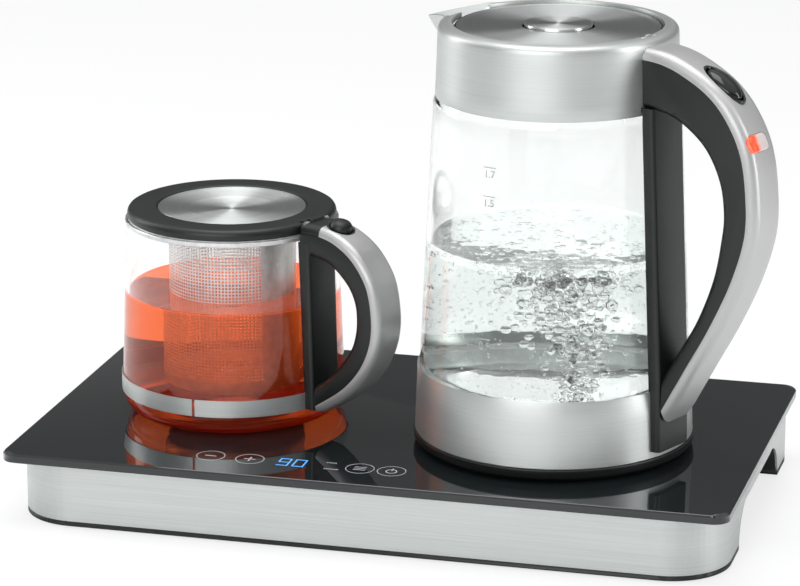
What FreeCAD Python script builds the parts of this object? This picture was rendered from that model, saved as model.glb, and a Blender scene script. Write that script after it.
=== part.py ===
import FreeCAD, Part
import math
import os

from FreeCAD import Vector

os.makedirs("parts", exist_ok=True)

# Driving dimensions, in millimetres. +Z is up and the table is z = 0.
plate_w = 405.7          # glass plate, left to right
plate_d = 236.0          # glass plate, front to back
plate_t = 4.8
plate_top = 41.4         # where both vessels stand
plate_corner = 9.0
shell_low_r = 77.0       # kettle at the foot of its steel shell
reach = shell_low_r + 59.9   # kettle axis to the outside of its handle
turn = -23.5             # both handles point right and to the front

teapot_dx = -103.9
teapot_reach = 115.0     # teapot axis to the outside of its handle
foot_r = shell_low_r + 1.0
kettle_dx = teapot_dx + teapot_reach + foot_r - 2.5
kettle_y = -15.2
teapot_y = 0.3

# The origin is under the middle of the whole outline, so the plate sits left of it
# by half of what the kettle handle overhangs.
plate_x = -0.5 * (kettle_dx + reach * math.cos(math.radians(turn)) + 1.9 - plate_w / 2)
kettle_x = plate_x + kettle_dx
teapot_x = plate_x + teapot_dx

gap = 0.3                # between pieces that move past each other
fit = 0.1                # between pieces fixed to each other

band_in = 4.0            # steel band behind the plate edge
band_front = 5.0
band_t = 1.2
band_low = 3.6
band_top = plate_top - plate_t
front_r = 34.0
rear_r = 15.0
wall = 2.2
deck_t = 2.4
arch_front = 63.0 - plate_d / 2
arch_rear = plate_d / 2 - 45.0
arch_top = 23.0

# Kettle, radii from its own axis.
foot_low_r = foot_r - 5.5
foot_in_r = foot_r - 16.0
foot_top = plate_top + 8.0
pan_low = plate_top + 2.6
pan_top = plate_top + 5.0
shell_top_r = shell_low_r - 1.4
shell_top = plate_top + 45.6
shell_t = 0.8
spigot_r = shell_top_r - shell_t - 0.2
spigot_t = 2.2
plate_z = plate_top + 26.6   # underside of the heated floor
floor_t = 1.4
flange_low = plate_top + 35.6
flange_t = 1.2
glass_low = flange_low + 3.2
glass_r87 = shell_top_r - 1.0
glass_slope = 0.0485
glass_t = 3.0
neck_low = plate_top + 194.1
neck_r = glass_r87 - 9.5
neck_top = plate_top + 206.6
collar_low = plate_top + 196.1
collar_r = neck_r + 1.3
collar_top = plate_top + 236.8
lid_open_r = neck_r - 7.7
lid_r = lid_open_r - 1.4
lid_top = collar_top - 1.4
hinge_x = lid_open_r + 1.1
hinge_z = collar_top - 1.2
pin_r = 1.1
socket_r = 24.0
socket_top = plate_top + 18.6
plug_r = 18.0
plug_top = plate_top + 8.6
seat_r = 25.9
contact_r = 3.0
contact_top = plate_top + 15.6
handle_w = 26.0
spine_w = 29.0
cap_t = 6.2

# Teapot, radii from its own axis.
pot_top = 152.4
pot_t = 2.4
pot_floor = 3.4
clamp_low = 53.6
clamp_high = 63.2
rim_r = 59.2
belly_r = rim_r + 4.0
clamp_r = belly_r + 0.7
pot_lid_r = rim_r - 0.2
pot_disc_r = 43.4
pot_lid_top = 159.6
basket_r = 36.0
basket_low = 58.0
pot_handle_w = 23.0
pot_spine_w = 24.0
pot_cap_t = 5.2
pot_hinge_x = rim_r + 2.3
pot_hinge_z = 160.2


def pol(points):
    vs = [Vector(*p) for p in points]
    return Part.makePolygon(vs + [vs[0]])


def turned(profile):
    """Solid of revolution about Z from (radius, z) points."""
    face = Part.Face(pol([(r, 0, z) for r, z in profile]))
    return face.revolve(Vector(0, 0, 0), Vector(0, 0, 1), 360)


def disc(r, z0, z1, x=0.0, y=0.0):
    return Part.makeCylinder(r, z1 - z0, Vector(x, y, z0))


def ring(r0, r1, z0, z1, x=0.0, y=0.0):
    return disc(r1, z0, z1, x, y).cut(disc(r0, z0 - 1, z1 + 1, x, y))


def block(x0, x1, y0, y1, z0, z1):
    return Part.makeBox(x1 - x0, y1 - y0, z1 - z0, Vector(x0, y0, z0))


def curve(points):
    c = Part.BSplineCurve()
    c.interpolate([Vector(x, 0, z) for x, z in points])
    return c.toShape()


def side(lines, width, mid=0.0):
    """Extrude a closed XZ outline, given as runs of points, evenly about y = mid."""
    edges = []
    for run in lines:
        if len(run) > 2:
            edges.append(curve(run))
        else:
            edges.append(Part.makeLine(Vector(run[0][0], 0, run[0][1]), Vector(run[1][0], 0, run[1][1])))
    face = Part.Face(Part.Wire(edges))
    solid = face.extrude(Vector(0, width, 0))
    solid.translate(Vector(0, mid - width / 2, 0))
    return solid


def rounded(x0, x1, y0, y1, z0, z1, rf, rb):
    """Upright prism with corner radius rf at the front and rb at the back."""
    def arc(cx, cy, r, a0):
        a = [math.radians(a0 + d) for d in (0, 45, 90)]
        p = [Vector(cx + r * math.cos(t), cy + r * math.sin(t), z0) for t in a]
        return Part.Arc(*p).toShape(), p[0], p[2]
    parts = [arc(x0 + rf, y0 + rf, rf, 180), arc(x1 - rf, y0 + rf, rf, 270),
             arc(x1 - rb, y1 - rb, rb, 0), arc(x0 + rb, y1 - rb, rb, 90)]
    edges = []
    for i, (edge, first, last) in enumerate(parts):
        edges.append(edge)
        edges.append(Part.makeLine(last, parts[(i + 1) % 4][1]))
    return Part.Face(Part.Wire(edges)).extrude(Vector(0, 0, z1 - z0))


def all_of(shapes):
    out = shapes[0]
    for s in shapes[1:]:
        out = out.fuse(s)
    return out.removeSplitter()


def loose(shapes):
    return Part.makeCompound(shapes)


def tilt(shape, x, z, nx, nz):
    """Stand a shape built up +Z at a point of the XZ plane, along (nx, nz)."""
    s = shape.copy()
    s.rotate(Vector(0, 0, 0), Vector(0, 1, 0), math.degrees(math.atan2(nx, nz)))
    s.translate(Vector(x, 0, z))
    return s


made = {}


def keep(name, shape, at=None):
    s = shape.copy()
    if at is not None:
        s.rotate(Vector(0, 0, 0), Vector(0, 0, 1), turn)
        s.translate(Vector(at[0], at[1], 0))
    made[name] = s


kettle = (kettle_x, kettle_y)
teapot = (teapot_x, teapot_y)

# The powered base
x0 = plate_x - plate_w / 2
x1 = plate_x + plate_w / 2
y0 = -plate_d / 2
y1 = plate_d / 2
outer = (x0 + band_in, x1 - band_in, y0 + band_front, y1 - band_front)


def inset(d, z0, z1):
    return rounded(outer[0] + d, outer[1] - d, outer[2] + d, outer[3] - d, z0, z1,
                   front_r - d, max(rear_r - d, 1.0))


def arch(grow, low=-5.0):
    """The open way under the base, side to side, grown outwards into its walls."""
    f = arch_front - grow
    r = arch_rear + grow
    t = arch_top + grow
    lift = 20.0
    run = [[(f, low), (f, 2.0)],
           [(f, 2.0), (f + 4.0, t - 9.0), (f + 11.0, t - 3.0), (f + lift + 8.0, t)],
           [(f + lift + 8.0, t), (r - lift - 8.0, t)],
           [(r - lift - 8.0, t), (r - 11.0, t - 3.0), (r - 4.0, t - 9.0), (r, 2.0)],
           [(r, 2.0), (r, low)], [(r, low), (f, low)]]
    s = side(run, 2 * plate_w)
    s.rotate(Vector(0, 0, 0), Vector(0, 0, 1), 90)
    return s


glass = rounded(x0, x1, y0, y1, band_top, plate_top, plate_corner, plate_corner)
glass = glass.makeChamfer(1.0, [e for e in glass.Edges
                                if min(v.Point.z for v in e.Vertexes) > plate_top - 0.01])
glass = glass.cut(disc(plug_r + gap, 0, 60, *kettle))
keep("glass_top", glass)

way = arch(0.0)
back_cut = block(x0 + 30, x1 - 30, y1 - band_front - band_t - 1, y1, -5, 60)
band = inset(0, band_low, band_top).cut(inset(band_t, 0, 60)).cut(way).cut(back_cut)
keep("steel_band", band)
panel = inset(0, band_low, band_top).cut(inset(band_t, 0, 60))
panel = panel.common(block(x0 + 30 + fit, x1 - 30 - fit, 0, y1, 0, 60))
panel = panel.cut(Part.makeCylinder(6.2, 20, Vector(x0 + 60, y1 - 15, 18), Vector(0, 1, 0)))
keep("rear_panel", panel)

inner = band_t + fit
deck_low = band_top - deck_t
tray = inset(inner, 0.8, deck_low)
tray = tray.fuse(inset(0, 0.8, band_low))
tray = tray.cut(way)
room = inset(inner + wall, 0.8 + wall, deck_low + 5).cut(arch(wall))
tray = tray.cut(room)
post_x = 91.0
bosses = [(x0 + 22, y0 + 23), (x1 - 22, y0 + 23), (x0 + 22, y1 - 23), (x1 - 22, y1 - 23),
          (plate_x - post_x, y0 + 47), (plate_x + post_x, y0 + 47), (plate_x, y1 - 23)]
tray = tray.fuse(loose([disc(4.0, 0.8, deck_low, x, y) for x, y in bosses]))
tray = tray.fuse(loose([disc(3.2, 0.8, 12.0, plate_x + dx, y) for dx in (-75, 75) for y in (y0 + 26, y0 + 50)]))
holes = [disc(1.6, -1, deck_low + 1, x, y) for x, y in bosses]
holes += [disc(3.4, -1, 5.0, x, y) for x, y in bosses]
tray = tray.cut(loose(holes))
slots = [block(plate_x - 140 + i * 9, plate_x - 135.5 + i * 9, y0 + 34, y0 + 54, 0, 4) for i in range(5)]
slots += [block(plate_x + 100 + i * 9, plate_x + 104.5 + i * 9, y0 + 34, y0 + 54, 0, 4) for i in range(5)]
tray = tray.cut(loose(slots))
gland_x = x0 + 60
tray = tray.cut(Part.makeCylinder(4.6, 30, Vector(gland_x, y1 - 25, 18), Vector(0, 1, 0)))
feet_at = [(x0 + 52, y0 + 30), (x1 - 52, y0 + 30), (x0 + 45, y1 - 25.5), (x1 - 45, y1 - 25.5)]
foot_recess = 1.0
tray = tray.cut(loose([disc(7.0 + fit, 0, 0.8 + foot_recess, x, y) for x, y in feet_at]))
keep("housing", tray.removeSplitter())
keep("rubber_feet", loose([disc(7.0, 0, 0.8 + foot_recess, x, y) for x, y in feet_at]))

warm_r = 50.0
deck = inset(inner, deck_low, band_top)
deck = deck.cut(disc(seat_r + 2 * fit, 0, 60, *kettle)).cut(disc(warm_r + fit, 0, 60, *teapot))
touch_at = [plate_x + d for d in (-88.8, -66.4, -3.9, 13.9)]
touch_y = y0 + 26.4
deck = deck.cut(loose([disc(4.0, 0, 60, x, touch_y) for x in touch_at]))
show_x = plate_x - 40.0
deck = deck.cut(block(show_x - 17.2, show_x + 17.2, touch_y - 8.2, touch_y + 8.2, 0, 60))
deck = deck.cut(loose([disc(1.6, 30, deck_low + 0.6, x, y) for x, y in bosses]))
keep("deck", deck)
keep("housing_screws", loose([disc(1.5, 5.0, deck_low + 0.5, x, y).fuse(disc(3.0, 3.0, 5.0, x, y)) for x, y in bosses]))

# Warming plate for the teapot, under the glass
keep("warming_plate", disc(warm_r, band_top - 2.0, band_top, *teapot))
coil_z = band_top - 2.0
coil = ring(28.0, 33.0, coil_z - 2.6, coil_z, *teapot).fuse(ring(38.0, 43.0, coil_z - 2.6, coil_z, *teapot))
coil = coil.fuse(block(teapot_x - 40, teapot_x - 30, teapot_y - 3, teapot_y + 3, coil_z - 2.6, coil_z))
keep("warming_element", coil.removeSplitter())
shelf = arch_top + wall
brace = block(teapot_x - 56, teapot_x + 56, teapot_y - 9, teapot_y + 9, coil_z - 4.6, coil_z - 2.6)
brace = brace.cut(disc(5.2, 0, 60, *teapot))
legs = [block(teapot_x + s - 3, teapot_x + s + 3, teapot_y - 9, teapot_y + 9, shelf, coil_z - 4.6) for s in (-53, 53)]
keep("warming_brace", all_of([brace] + legs))
keep("heat_sensor", disc(5.0, shelf, coil_z - 3.0, *teapot).fuse(disc(3.0, coil_z - 3.0, coil_z, *teapot)))

# Boards, display and touch springs
board_z = 29.4
board = block(plate_x - 105, plate_x + 35, touch_y - 14.4, touch_y + 14.6, board_z - 1.6, board_z)
board = board.fuse(block(show_x + 18, show_x + 32, touch_y + 5.6, touch_y + 15.6, board_z, board_z + 2.0))
posts = [(plate_x + dx, touch_y + dy) for dx in (-100, 30) for dy in (-9.4, 10.6)]
post_set = [disc(3.0, board_z, deck_low, x, y) for x, y in posts]
keep("control_board", all_of([board] + post_set))
keep("touch_springs", loose([disc(3.2, board_z, band_top, x, touch_y) for x in touch_at]))
keep("display", block(show_x - 17, show_x + 17, touch_y - 8, touch_y + 8, board_z, band_top))
pb = block(plate_x - 82, plate_x + 82, y0 + 19, y0 + 57, 12.0, 13.6)
pb = pb.fuse(block(plate_x - 70, plate_x - 42, y0 + 24, y0 + 50, 13.6, 26.0))
pb = pb.fuse(block(plate_x - 34, plate_x - 14, y0 + 26, y0 + 42, 13.6, 25.0))
pb = pb.fuse(block(plate_x + 40, plate_x + 62, y0 + 26, y0 + 50, 13.6, 27.0))
pb = pb.fuse(disc(6.0, 13.6, 26.5, plate_x + 14, y0 + 34))
keep("power_board", pb.removeSplitter())
gl = Part.makeCylinder(4.5, 6.0, Vector(gland_x, y1 - band_front - 4.0, 18), Vector(0, 1, 0))
gl = gl.fuse(Part.makeCylinder(6.0, 3.0, Vector(gland_x, y1 - band_front - band_t, 18), Vector(0, 1, 0)))
gl = gl.cut(Part.makeCylinder(3.2, 40, Vector(gland_x, y1 - 30, 18), Vector(0, 1, 0)))
gl = gl.common(block(x0, x1, 0, y1 - band_front + 1.8, 0, 60))
keep("cord_gland", gl)

# Kettle connector, fixed in the base
seat = turned([(contact_r + gap, shelf), (seat_r, shelf), (seat_r, band_top), (contact_r + gap, band_top)])
seat.translate(Vector(kettle_x, kettle_y, 0))
keep("connector_seat", seat.cut(arch(wall)))
plug = turned([(contact_r + gap, band_top), (plug_r, band_top), (plug_r, plug_top - 1.2), (plug_r - 1.2, plug_top),
               (contact_r + 2.4, plug_top), (contact_r + 2.4, pan_low), (contact_r + gap, pan_low)])
groove_low = pan_low - 2.0
plug = plug.cut(ring(plug_r / 2, plug_r / 2 + 2, groove_low, 60.0)).cut(ring(plug_r - 4.5, plug_r - 2.5, groove_low, 60.0))
keep("connector", plug, kettle)
keep("contact_pin", turned([(0, shelf), (contact_r, shelf), (contact_r, contact_top - 2), (contact_r - 1.5, contact_top), (0, contact_top)]), kettle)

# Kettle underside
foot = turned([(foot_in_r, plate_top), (foot_low_r, plate_top), (foot_r - 0.8, plate_top + 3.6), (foot_r, foot_top),
               (spigot_r, foot_top), (spigot_r, flange_low), (spigot_r - spigot_t, flange_low),
               (spigot_r - spigot_t, pan_top), (foot_in_r, pan_top)])
keep("foot_ring", foot, kettle)
keep("base_pan", ring(socket_r + gap, foot_in_r, pan_low, pan_top), kettle)
sock = turned([(plug_r + 0.8, pan_low), (socket_r, pan_low), (socket_r, socket_top), (0, socket_top), (0, contact_top + 0.6),
               (contact_r + 0.6, contact_top + 0.6), (contact_r + 0.6, plug_top + 0.8), (plug_r + 0.8, plug_top + 0.8)])
keep("kettle_socket", sock, kettle)
keep("thermostat", all_of([disc(19.0, socket_top + gap, socket_top + 4), block(-14, 14, -9, 9, socket_top + 4, plate_z)]), kettle)
pan_r = spigot_r - spigot_t - 1.6
keep("heater_floor", disc(pan_r - flange_t, plate_z, plate_z + floor_t), kettle)
keep("heater_wall", turned([(pan_r - flange_t, plate_z), (pan_r, plate_z + flange_t), (pan_r, flange_low), (spigot_r, flange_low),
                            (spigot_r, flange_low + flange_t), (pan_r - flange_t, flange_low + flange_t)]), kettle)
loop = Part.makeTorus(46.0, 3.6, Vector(0, 0, plate_z - 3.6))
loop = loop.cut(block(30, 60, -7, 7, plate_z - 18, plate_z + 2))
tabs = [block(42, 50, s * 9.5 - 2, s * 9.5 + 2, plate_z - 16, plate_z - 3.6) for s in (-1, 1)]
keep("heating_element", all_of([loop] + tabs), kettle)
keep("lower_seal", ring(spigot_r - 4.4, spigot_r, flange_low + flange_t, glass_low), kettle)


def shell_r(z):
    return shell_low_r + (shell_top_r - shell_low_r) * (z - foot_top) / (shell_top - foot_top)


def glass_r(z):
    return glass_r87 - glass_slope * (z - shell_top)


keep("base_shell", turned([(shell_low_r, foot_top), (shell_top_r, shell_top), (shell_top_r - shell_t, shell_top),
                           (shell_low_r - shell_t, foot_top)]), kettle)
jar = turned([(glass_r(glass_low), glass_low), (glass_r(neck_low), neck_low), (neck_r + 0.2, neck_low + 2.9), (neck_r, neck_top),
              (neck_r - glass_t, neck_top), (neck_r - glass_t, neck_low + 3.3), (glass_r(neck_low) - glass_t, neck_low),
              (glass_r(glass_low) - glass_t, glass_low)])
keep("kettle_glass", jar, kettle)
keep("upper_seal", ring(neck_r - 2.8, neck_r + 0.1, neck_top, neck_top + 2.2), kettle)

# Steel collar with its spout
cap_z = neck_top + 2.2
collar_out = [(collar_r, collar_low), (collar_r - 1.1, collar_top - 9.7), (collar_r - 2.1, collar_top - 4.7),
              (collar_r - 4.4, collar_top - 1.3), (collar_r - 6.9, collar_top)]
collar = turned(collar_out + [(lid_open_r, collar_top), (lid_open_r, lid_top), (lid_open_r + 1.8, lid_top),
                              (collar_r - 5.2, lid_top - 1.2), (collar_r - 3.2, collar_top - 5.4),
                              (collar_r - 2.0, collar_top - 9.8), (neck_r - 0.15, cap_z + 1.2),
                              (neck_r - 3.1, cap_z + 1.2), (neck_r - 3.1, cap_z), (neck_r + 0.25, cap_z),
                              (collar_r - 0.9, collar_low)])


def beak(tip, low, half, top, root):
    """Open-topped pouring lip as a four-sided point."""
    a = Vector(-root, half, top)
    b = Vector(-root, -half, top)
    t = Vector(-tip, 0, top)
    d = Vector(-root, 0, low)
    faces = [Part.Face(Part.makePolygon(q + [q[0]])) for q in ([a, t, b], [a, b, d], [a, d, t], [b, t, d])]
    return Part.makeSolid(Part.makeShell(faces))


spout_tip = collar_r + 21.6
spout_root = collar_r - 8.4
spout_half = 29.0
lip_t = 1.0
lip_out = beak(spout_tip, collar_low - 1.0, spout_half, lid_top + 0.2, spout_root)
lip_in = beak(spout_tip - 2.4 * lip_t, collar_low + 3.0, spout_half - 1.4, lid_top + 2.7, spout_root - 1.0)
mouth = lip_in.common(block(-spout_tip, 0, -40, 40, cap_z + 1.8, collar_top + 20))
outside = turned([(0, collar_low - 20)] + [(r, z) for r, z in [(collar_r, collar_low - 20)] + collar_out[:1]]
                 + collar_out[1:] + [(collar_r - 6.9, collar_top + 20), (0, collar_top + 20)])
collar = collar.cut(jar).cut(mouth)
collar = collar.cut(block(hinge_x - 3.5, hinge_x + 4.1, -10.4, 10.4, hinge_z - 3, hinge_z + 3))
keep("steel_collar", collar, kettle)
lip = lip_out.cut(outside).cut(lip_in)
keep("spout_lip", max(lip.Solids, key=lambda p: p.Volume), kettle)
sieve = ring(lid_open_r + 3.0, lid_open_r + 4.4, cap_z + 1.2, collar_top - 7.2)
wedge = Part.Face(pol([(0, 0, cap_z), (-90, 34, cap_z), (-90, -34, cap_z)])).extrude(Vector(0, 0, 30))
sieve = sieve.common(wedge)
keep("spout_filter", sieve, kettle)

# Kettle lid, hinge and its block
hb = block(hinge_x - 0.3, hinge_x + 8, -10, 10, hinge_z - 20, hinge_z - 9).common(disc(collar_r - 2.2, 200, 300))
hb = hb.fuse(block(hinge_x - 0.3, hinge_x + 2.1, -10, 10, hinge_z - 9, hinge_z - 2.5))
ears = [block(hinge_x - 2.1, hinge_x + 2.3, s, s + 3.4, hinge_z - 7, hinge_z + 2) for s in (-9.9, 6.5)]
hb = all_of([hb] + ears)
axle = Part.makeCylinder(pin_r, 19.8, Vector(hinge_x, -9.9, hinge_z), Vector(0, 1, 0))
keep("lid_hinge_block", hb.cut(axle), kettle)
keep("lid_hinge_pin", axle, kettle)
frame_low = lid_top - 4.2
cover_low = lid_top - 1.2
frame = turned([(0, frame_low), (lid_r, frame_low), (lid_r, cover_low + 0.6), (lid_r - 0.5, cover_low + 0.6),
                (lid_r - 0.5, cover_low), (0, cover_low)])
arm = Part.makeCylinder(2.2, 12.4, Vector(hinge_x, -6.2, hinge_z), Vector(0, 1, 0))
arm = arm.fuse(block(lid_r - 2.0, hinge_x, -6.2, 6.2, cover_low - 0.7, lid_top - 0.2))
frame = frame.fuse(arm).cut(Part.makeCylinder(pin_r + 0.05, 30, Vector(hinge_x, -15, hinge_z), Vector(0, 1, 0)))
keep("lid_frame", frame.removeSplitter(), kettle)
knob_r = 19.0
cover = turned([(knob_r + 0.4, cover_low), (lid_r - 0.6, cover_low), (lid_r - 0.6, lid_top - 0.4), (lid_r - 1.2, lid_top),
                (knob_r + 0.4, lid_top - 0.3)])
cover = cover.cut(block(lid_r - 2.5, lid_r + 4, -6.4, 6.4, frame_low, lid_top + 4))
keep("lid_cover", cover, kettle)
knob = turned([(0, cover_low), (knob_r, cover_low), (knob_r, lid_top + 0.6), (knob_r - 1.4, lid_top + 1.2), (0, lid_top + 0.6)])
keep("lid_button_plate", knob, kettle)
skirt = turned([(0, frame_low - 1.6), (lid_r - 7, frame_low - 1.6), (lid_r - 7, frame_low - 10.6), (lid_r - 5, frame_low - 10.6),
                (lid_r - 5, frame_low), (0, frame_low)])
keep("lid_plug", skirt, kettle)

# Kettle handle, in the XZ plane with +X away from the jug
def off_shell(points):
    """Points given by how far they stand out from the shell and how high over the plate."""
    return [(shell_low_r + d, plate_top + h) for d, h in points]


def off_pot(points):
    """Side-view points of the teapot handle, each given by how far it stands off the belly of the glass."""
    return [(belly_r + x, z) for x, z in points]


grip_in = off_shell([(-13.0, 200.6), (1.0, 199.1), (13.9, 193.8), (26.9, 183.3), (35.6, 167.8), (38.6, 151.4),
                     (37.7, 137.5), (33.3, 114.7), (24.0, 90.8), (13.0, 71.6), (3.6, 56.1)])
parting = off_shell([(-17.0, 227.0), (-1.0, 225.8), (13.2, 221.3), (29.3, 212.6), (40.9, 200.6), (49.6, 184.1),
                     (53.4, 162.5), (53.2, 140.3), (45.4, 114.6), (32.8, 87.9), (17.4, 60.9), (3.0, 36.1)])
spine_low, spine_mid, spine_high, crown_end = off_shell([(3.6, 5.2), (2.6, 56.1), (-4.8, 201.2), (5.6, 29.1)])


def offset(points, d):
    out = []
    for i, (x, z) in enumerate(points):
        a = points[max(i - 1, 0)]
        b = points[min(i + 1, len(points) - 1)]
        tx, tz = b[0] - a[0], b[1] - a[1]
        n = math.hypot(tx, tz)
        out.append((x - tz / n * d, z + tx / n * d))
    return out


def strip(back, *front):
    """Outline from an upright line x = back out to a run of points, as straight runs."""
    corners = list(front) + [(back, front[-1][1]), (back, front[0][1])]
    return [[corners[i], corners[(i + 1) % len(corners)]] for i in range(len(corners))]


crown = offset(parting, cap_t)
crown[-1] = crown_end
touch = 0.05             # keeps the handle clear of the round body
body_solid = turned([(0, plate_top - 1), (foot_r + 0.4, plate_top - 1), (foot_r + 0.4, foot_top), (shell_low_r + touch, foot_top),
                     (shell_top_r + touch, shell_top), (glass_r(shell_top) + touch, shell_top + 0.01),
                     (glass_r(neck_low) + touch, neck_low)]
                    + [(r + touch, z) for r, z in collar_out] + [(0, collar_top)])
body_solid = body_solid.fuse(disc(collar_r + 1.0, collar_low - 1.5, collar_low + 2.5))
spine = side(strip(shell_low_r - 17, spine_low, spine_mid, spine_high), spine_w).cut(body_solid)
keep("handle_spine", max(spine.Solids, key=lambda p: p.Volume), kettle)
foot_of_grip = (parting[-1][0] - 0.4, parting[-1][1])
grip = side([grip_in, [grip_in[-1], foot_of_grip], [foot_of_grip, parting[-1]], parting[::-1], [parting[0], grip_in[0]]], handle_w)
edge_low = (spine_low[0] + 0.4, plate_top - 1)
grip = grip.cut(body_solid).cut(side(strip(shell_low_r - 27, edge_low, spine_mid, spine_high), 60))
cap = side([parting, [parting[-1], crown[-1]], crown[::-1], [crown[0], parting[0]]], handle_w)
long_edges = [e for e in cap.Edges if e.Length > 150
              and e.valueAt(0.5 * (e.FirstParameter + e.LastParameter)).x > parting[6][0] + 2.0]
cap = cap.makeFillet(4.0, long_edges)
cap = cap.cut(body_solid).cut(side(strip(shell_low_r - 17, edge_low, spine_mid), 60))

# Lid button in the top of the kettle handle
(press_x, press_z), (lamp_x, lamp_z) = off_shell([(30.5, 217.4), (53.6, 190.2)])
press_n = (0.529, 0.8486)
well_r, well_in, dome_r, stem_r = 10.6, 9.2, 7.6, 2.4
well_deep = 8.0
well = turned([(stem_r + gap, -well_deep), (well_r, -well_deep), (well_r, 0.8), (well_in, 0.8),
               (well_in, -well_deep + 1.4), (stem_r + gap, -well_deep + 1.4)])
well = tilt(well, press_x, press_z, *press_n)
press = turned([(0, -well_deep - 2.0), (stem_r, -well_deep - 2.0), (stem_r, -3.2), (dome_r, -3.2), (dome_r, 0.8),
                (dome_r - 1.6, 2.6), (dome_r - 4.0, 3.5), (0, 3.8)])
press = tilt(press, press_x, press_z, *press_n)
recess = tilt(disc(well_r + fit, -well_deep, 30), press_x, press_z, *press_n)
bore = tilt(disc(stem_r + 0.5, -well_deep - 6.0, 2), press_x, press_z, *press_n)
grip = grip.cut(recess).cut(bore)
cap = cap.cut(recess)

# Lamp window in the outer cap
lamp_n = (0.902, 0.432)
lens = tilt(block(-4.8, 4.8, -8.6, 8.6, -3.4, 0.5), lamp_x, lamp_z, *lamp_n)
hole = tilt(block(-4.9, 4.9, -8.7, 8.7, -3.5, 12), lamp_x, lamp_z, *lamp_n)
cap = cap.cut(hole)
grip = grip.cut(tilt(block(-4.9, 4.9, -8.7, 8.7, -3.5, 12), lamp_x, lamp_z, *lamp_n))
keep("handle_grip", max(grip.Solids, key=lambda s: s.Volume), kettle)
keep("handle_cap", max(cap.Solids, key=lambda s: s.Volume), kettle)
keep("lid_press_well", well, kettle)
keep("lid_press", press, kettle)
keep("lamp_lens", lens, kettle)

# Teapot
pot_taper = [(-0.9, 84.0), (-1.5, 101.5), (-2.6, 128.0)]
pot_side = [(belly_r + d, z) for d, z in pot_taper]
pot_out = [(belly_r - 11.2, plate_top), (belly_r - 5.2, 43.2), (belly_r - 1.6, 46.8), (belly_r, clamp_low), (belly_r, clamp_high)]
pot_out = pot_out + pot_side + [(rim_r + 0.3, 150.0), (rim_r, pot_top)]
pot_in = [(rim_r - pot_t, pot_top), (rim_r + 0.3 - pot_t, 150.0)] + [(r - pot_t, z) for r, z in pot_side[::-1]]
pot_in = pot_in + [(belly_r - pot_t - 0.1, clamp_high), (belly_r - pot_t - 0.1, clamp_low), (belly_r - 4.2, 48.8),
                   (belly_r - 6.6, 46.4), (belly_r - 11.2, 45.0), (0, 45.0)]
pot = turned([(0, 42.0), (belly_r - 19.2, 42.0), (belly_r - 18.2, plate_top)] + pot_out + pot_in)
keep("pot_glass", pot, teapot)
slit = block(belly_r - 3.2, belly_r + 6.8, -0.8, 0.8, 50, 70)
slit.rotate(Vector(0, 0, 0), Vector(0, 0, 1), -70)
strap = ring(belly_r + 0.5 * fit, clamp_r, clamp_low, clamp_high).cut(slit)
keep("pot_clamp", strap, teapot)
neck = turned([(rim_r - pot_t + 0.4, pot_top), (rim_r + 0.5, pot_top), (rim_r + 0.5, 150.6), (rim_r + 1.1, 150.6),
               (rim_r + 1.1, pot_top + 0.6), (rim_r - pot_t + 0.4, pot_top + 0.6)])
keep("pot_neck_ring", neck, teapot)
rest_z = pot_top + 0.6
bask = turned([(0, basket_low), (basket_r - 1.5, basket_low), (basket_r, basket_low + 1.5), (basket_r, rest_z - 2.0),
               (basket_r + 2.0, rest_z), (rim_r - 0.6, rest_z), (rim_r - 0.6, rest_z + 0.6), (basket_r + 1.6, rest_z + 0.6),
               (basket_r - 0.6, rest_z - 1.6), (basket_r - 0.6, basket_low + 1.8), (basket_r - 1.8, basket_low + 0.6),
               (0, basket_low + 0.6)])
keep("infuser_basket", bask, teapot)
lid_low = rest_z + 0.6 + gap
pring = turned([(pot_disc_r + 0.2, lid_low + 2.2), (pot_disc_r - 13.4, lid_low + 2.2), (pot_disc_r - 13.4, lid_low), (pot_lid_r, lid_low),
                (pot_lid_r, 156.6), (pot_lid_r - 0.8, 158.4), (pot_lid_r - 2.4, pot_lid_top), (pot_disc_r + 2.6, pot_lid_top),
                (pot_disc_r + 0.2, 158.4)])
pot_arm = Part.makeCylinder(2.4, 11.4, Vector(pot_hinge_x, -5.7, pot_hinge_z), Vector(0, 1, 0))
pot_arm = pot_arm.fuse(block(pot_lid_r - 5.0, pot_hinge_x, -5.7, 5.7, 158.0, 160.8))
pring = pring.fuse(pot_arm).cut(Part.makeCylinder(pin_r + 0.05, 30, Vector(pot_hinge_x, -15, pot_hinge_z), Vector(0, 1, 0)))
keep("pot_lid_ring", pring.removeSplitter(), teapot)
dish = turned([(0, lid_low + 2.2), (pot_disc_r, lid_low + 2.2), (pot_disc_r, 158.8), (pot_disc_r - 1.2, 158.9), (pot_disc_r - 15.4, 157.6), (0, 157.2)])
keep("pot_lid_disc", dish, teapot)
cone = turned([(0, lid_low - 6.0), (16.0, lid_low - 5.0), (pot_disc_r - 13.6, lid_low), (pot_disc_r - 13.6, lid_low + 2.2),
               (0, lid_low + 2.2)])
keep("pot_lid_cone", cone, teapot)

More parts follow.
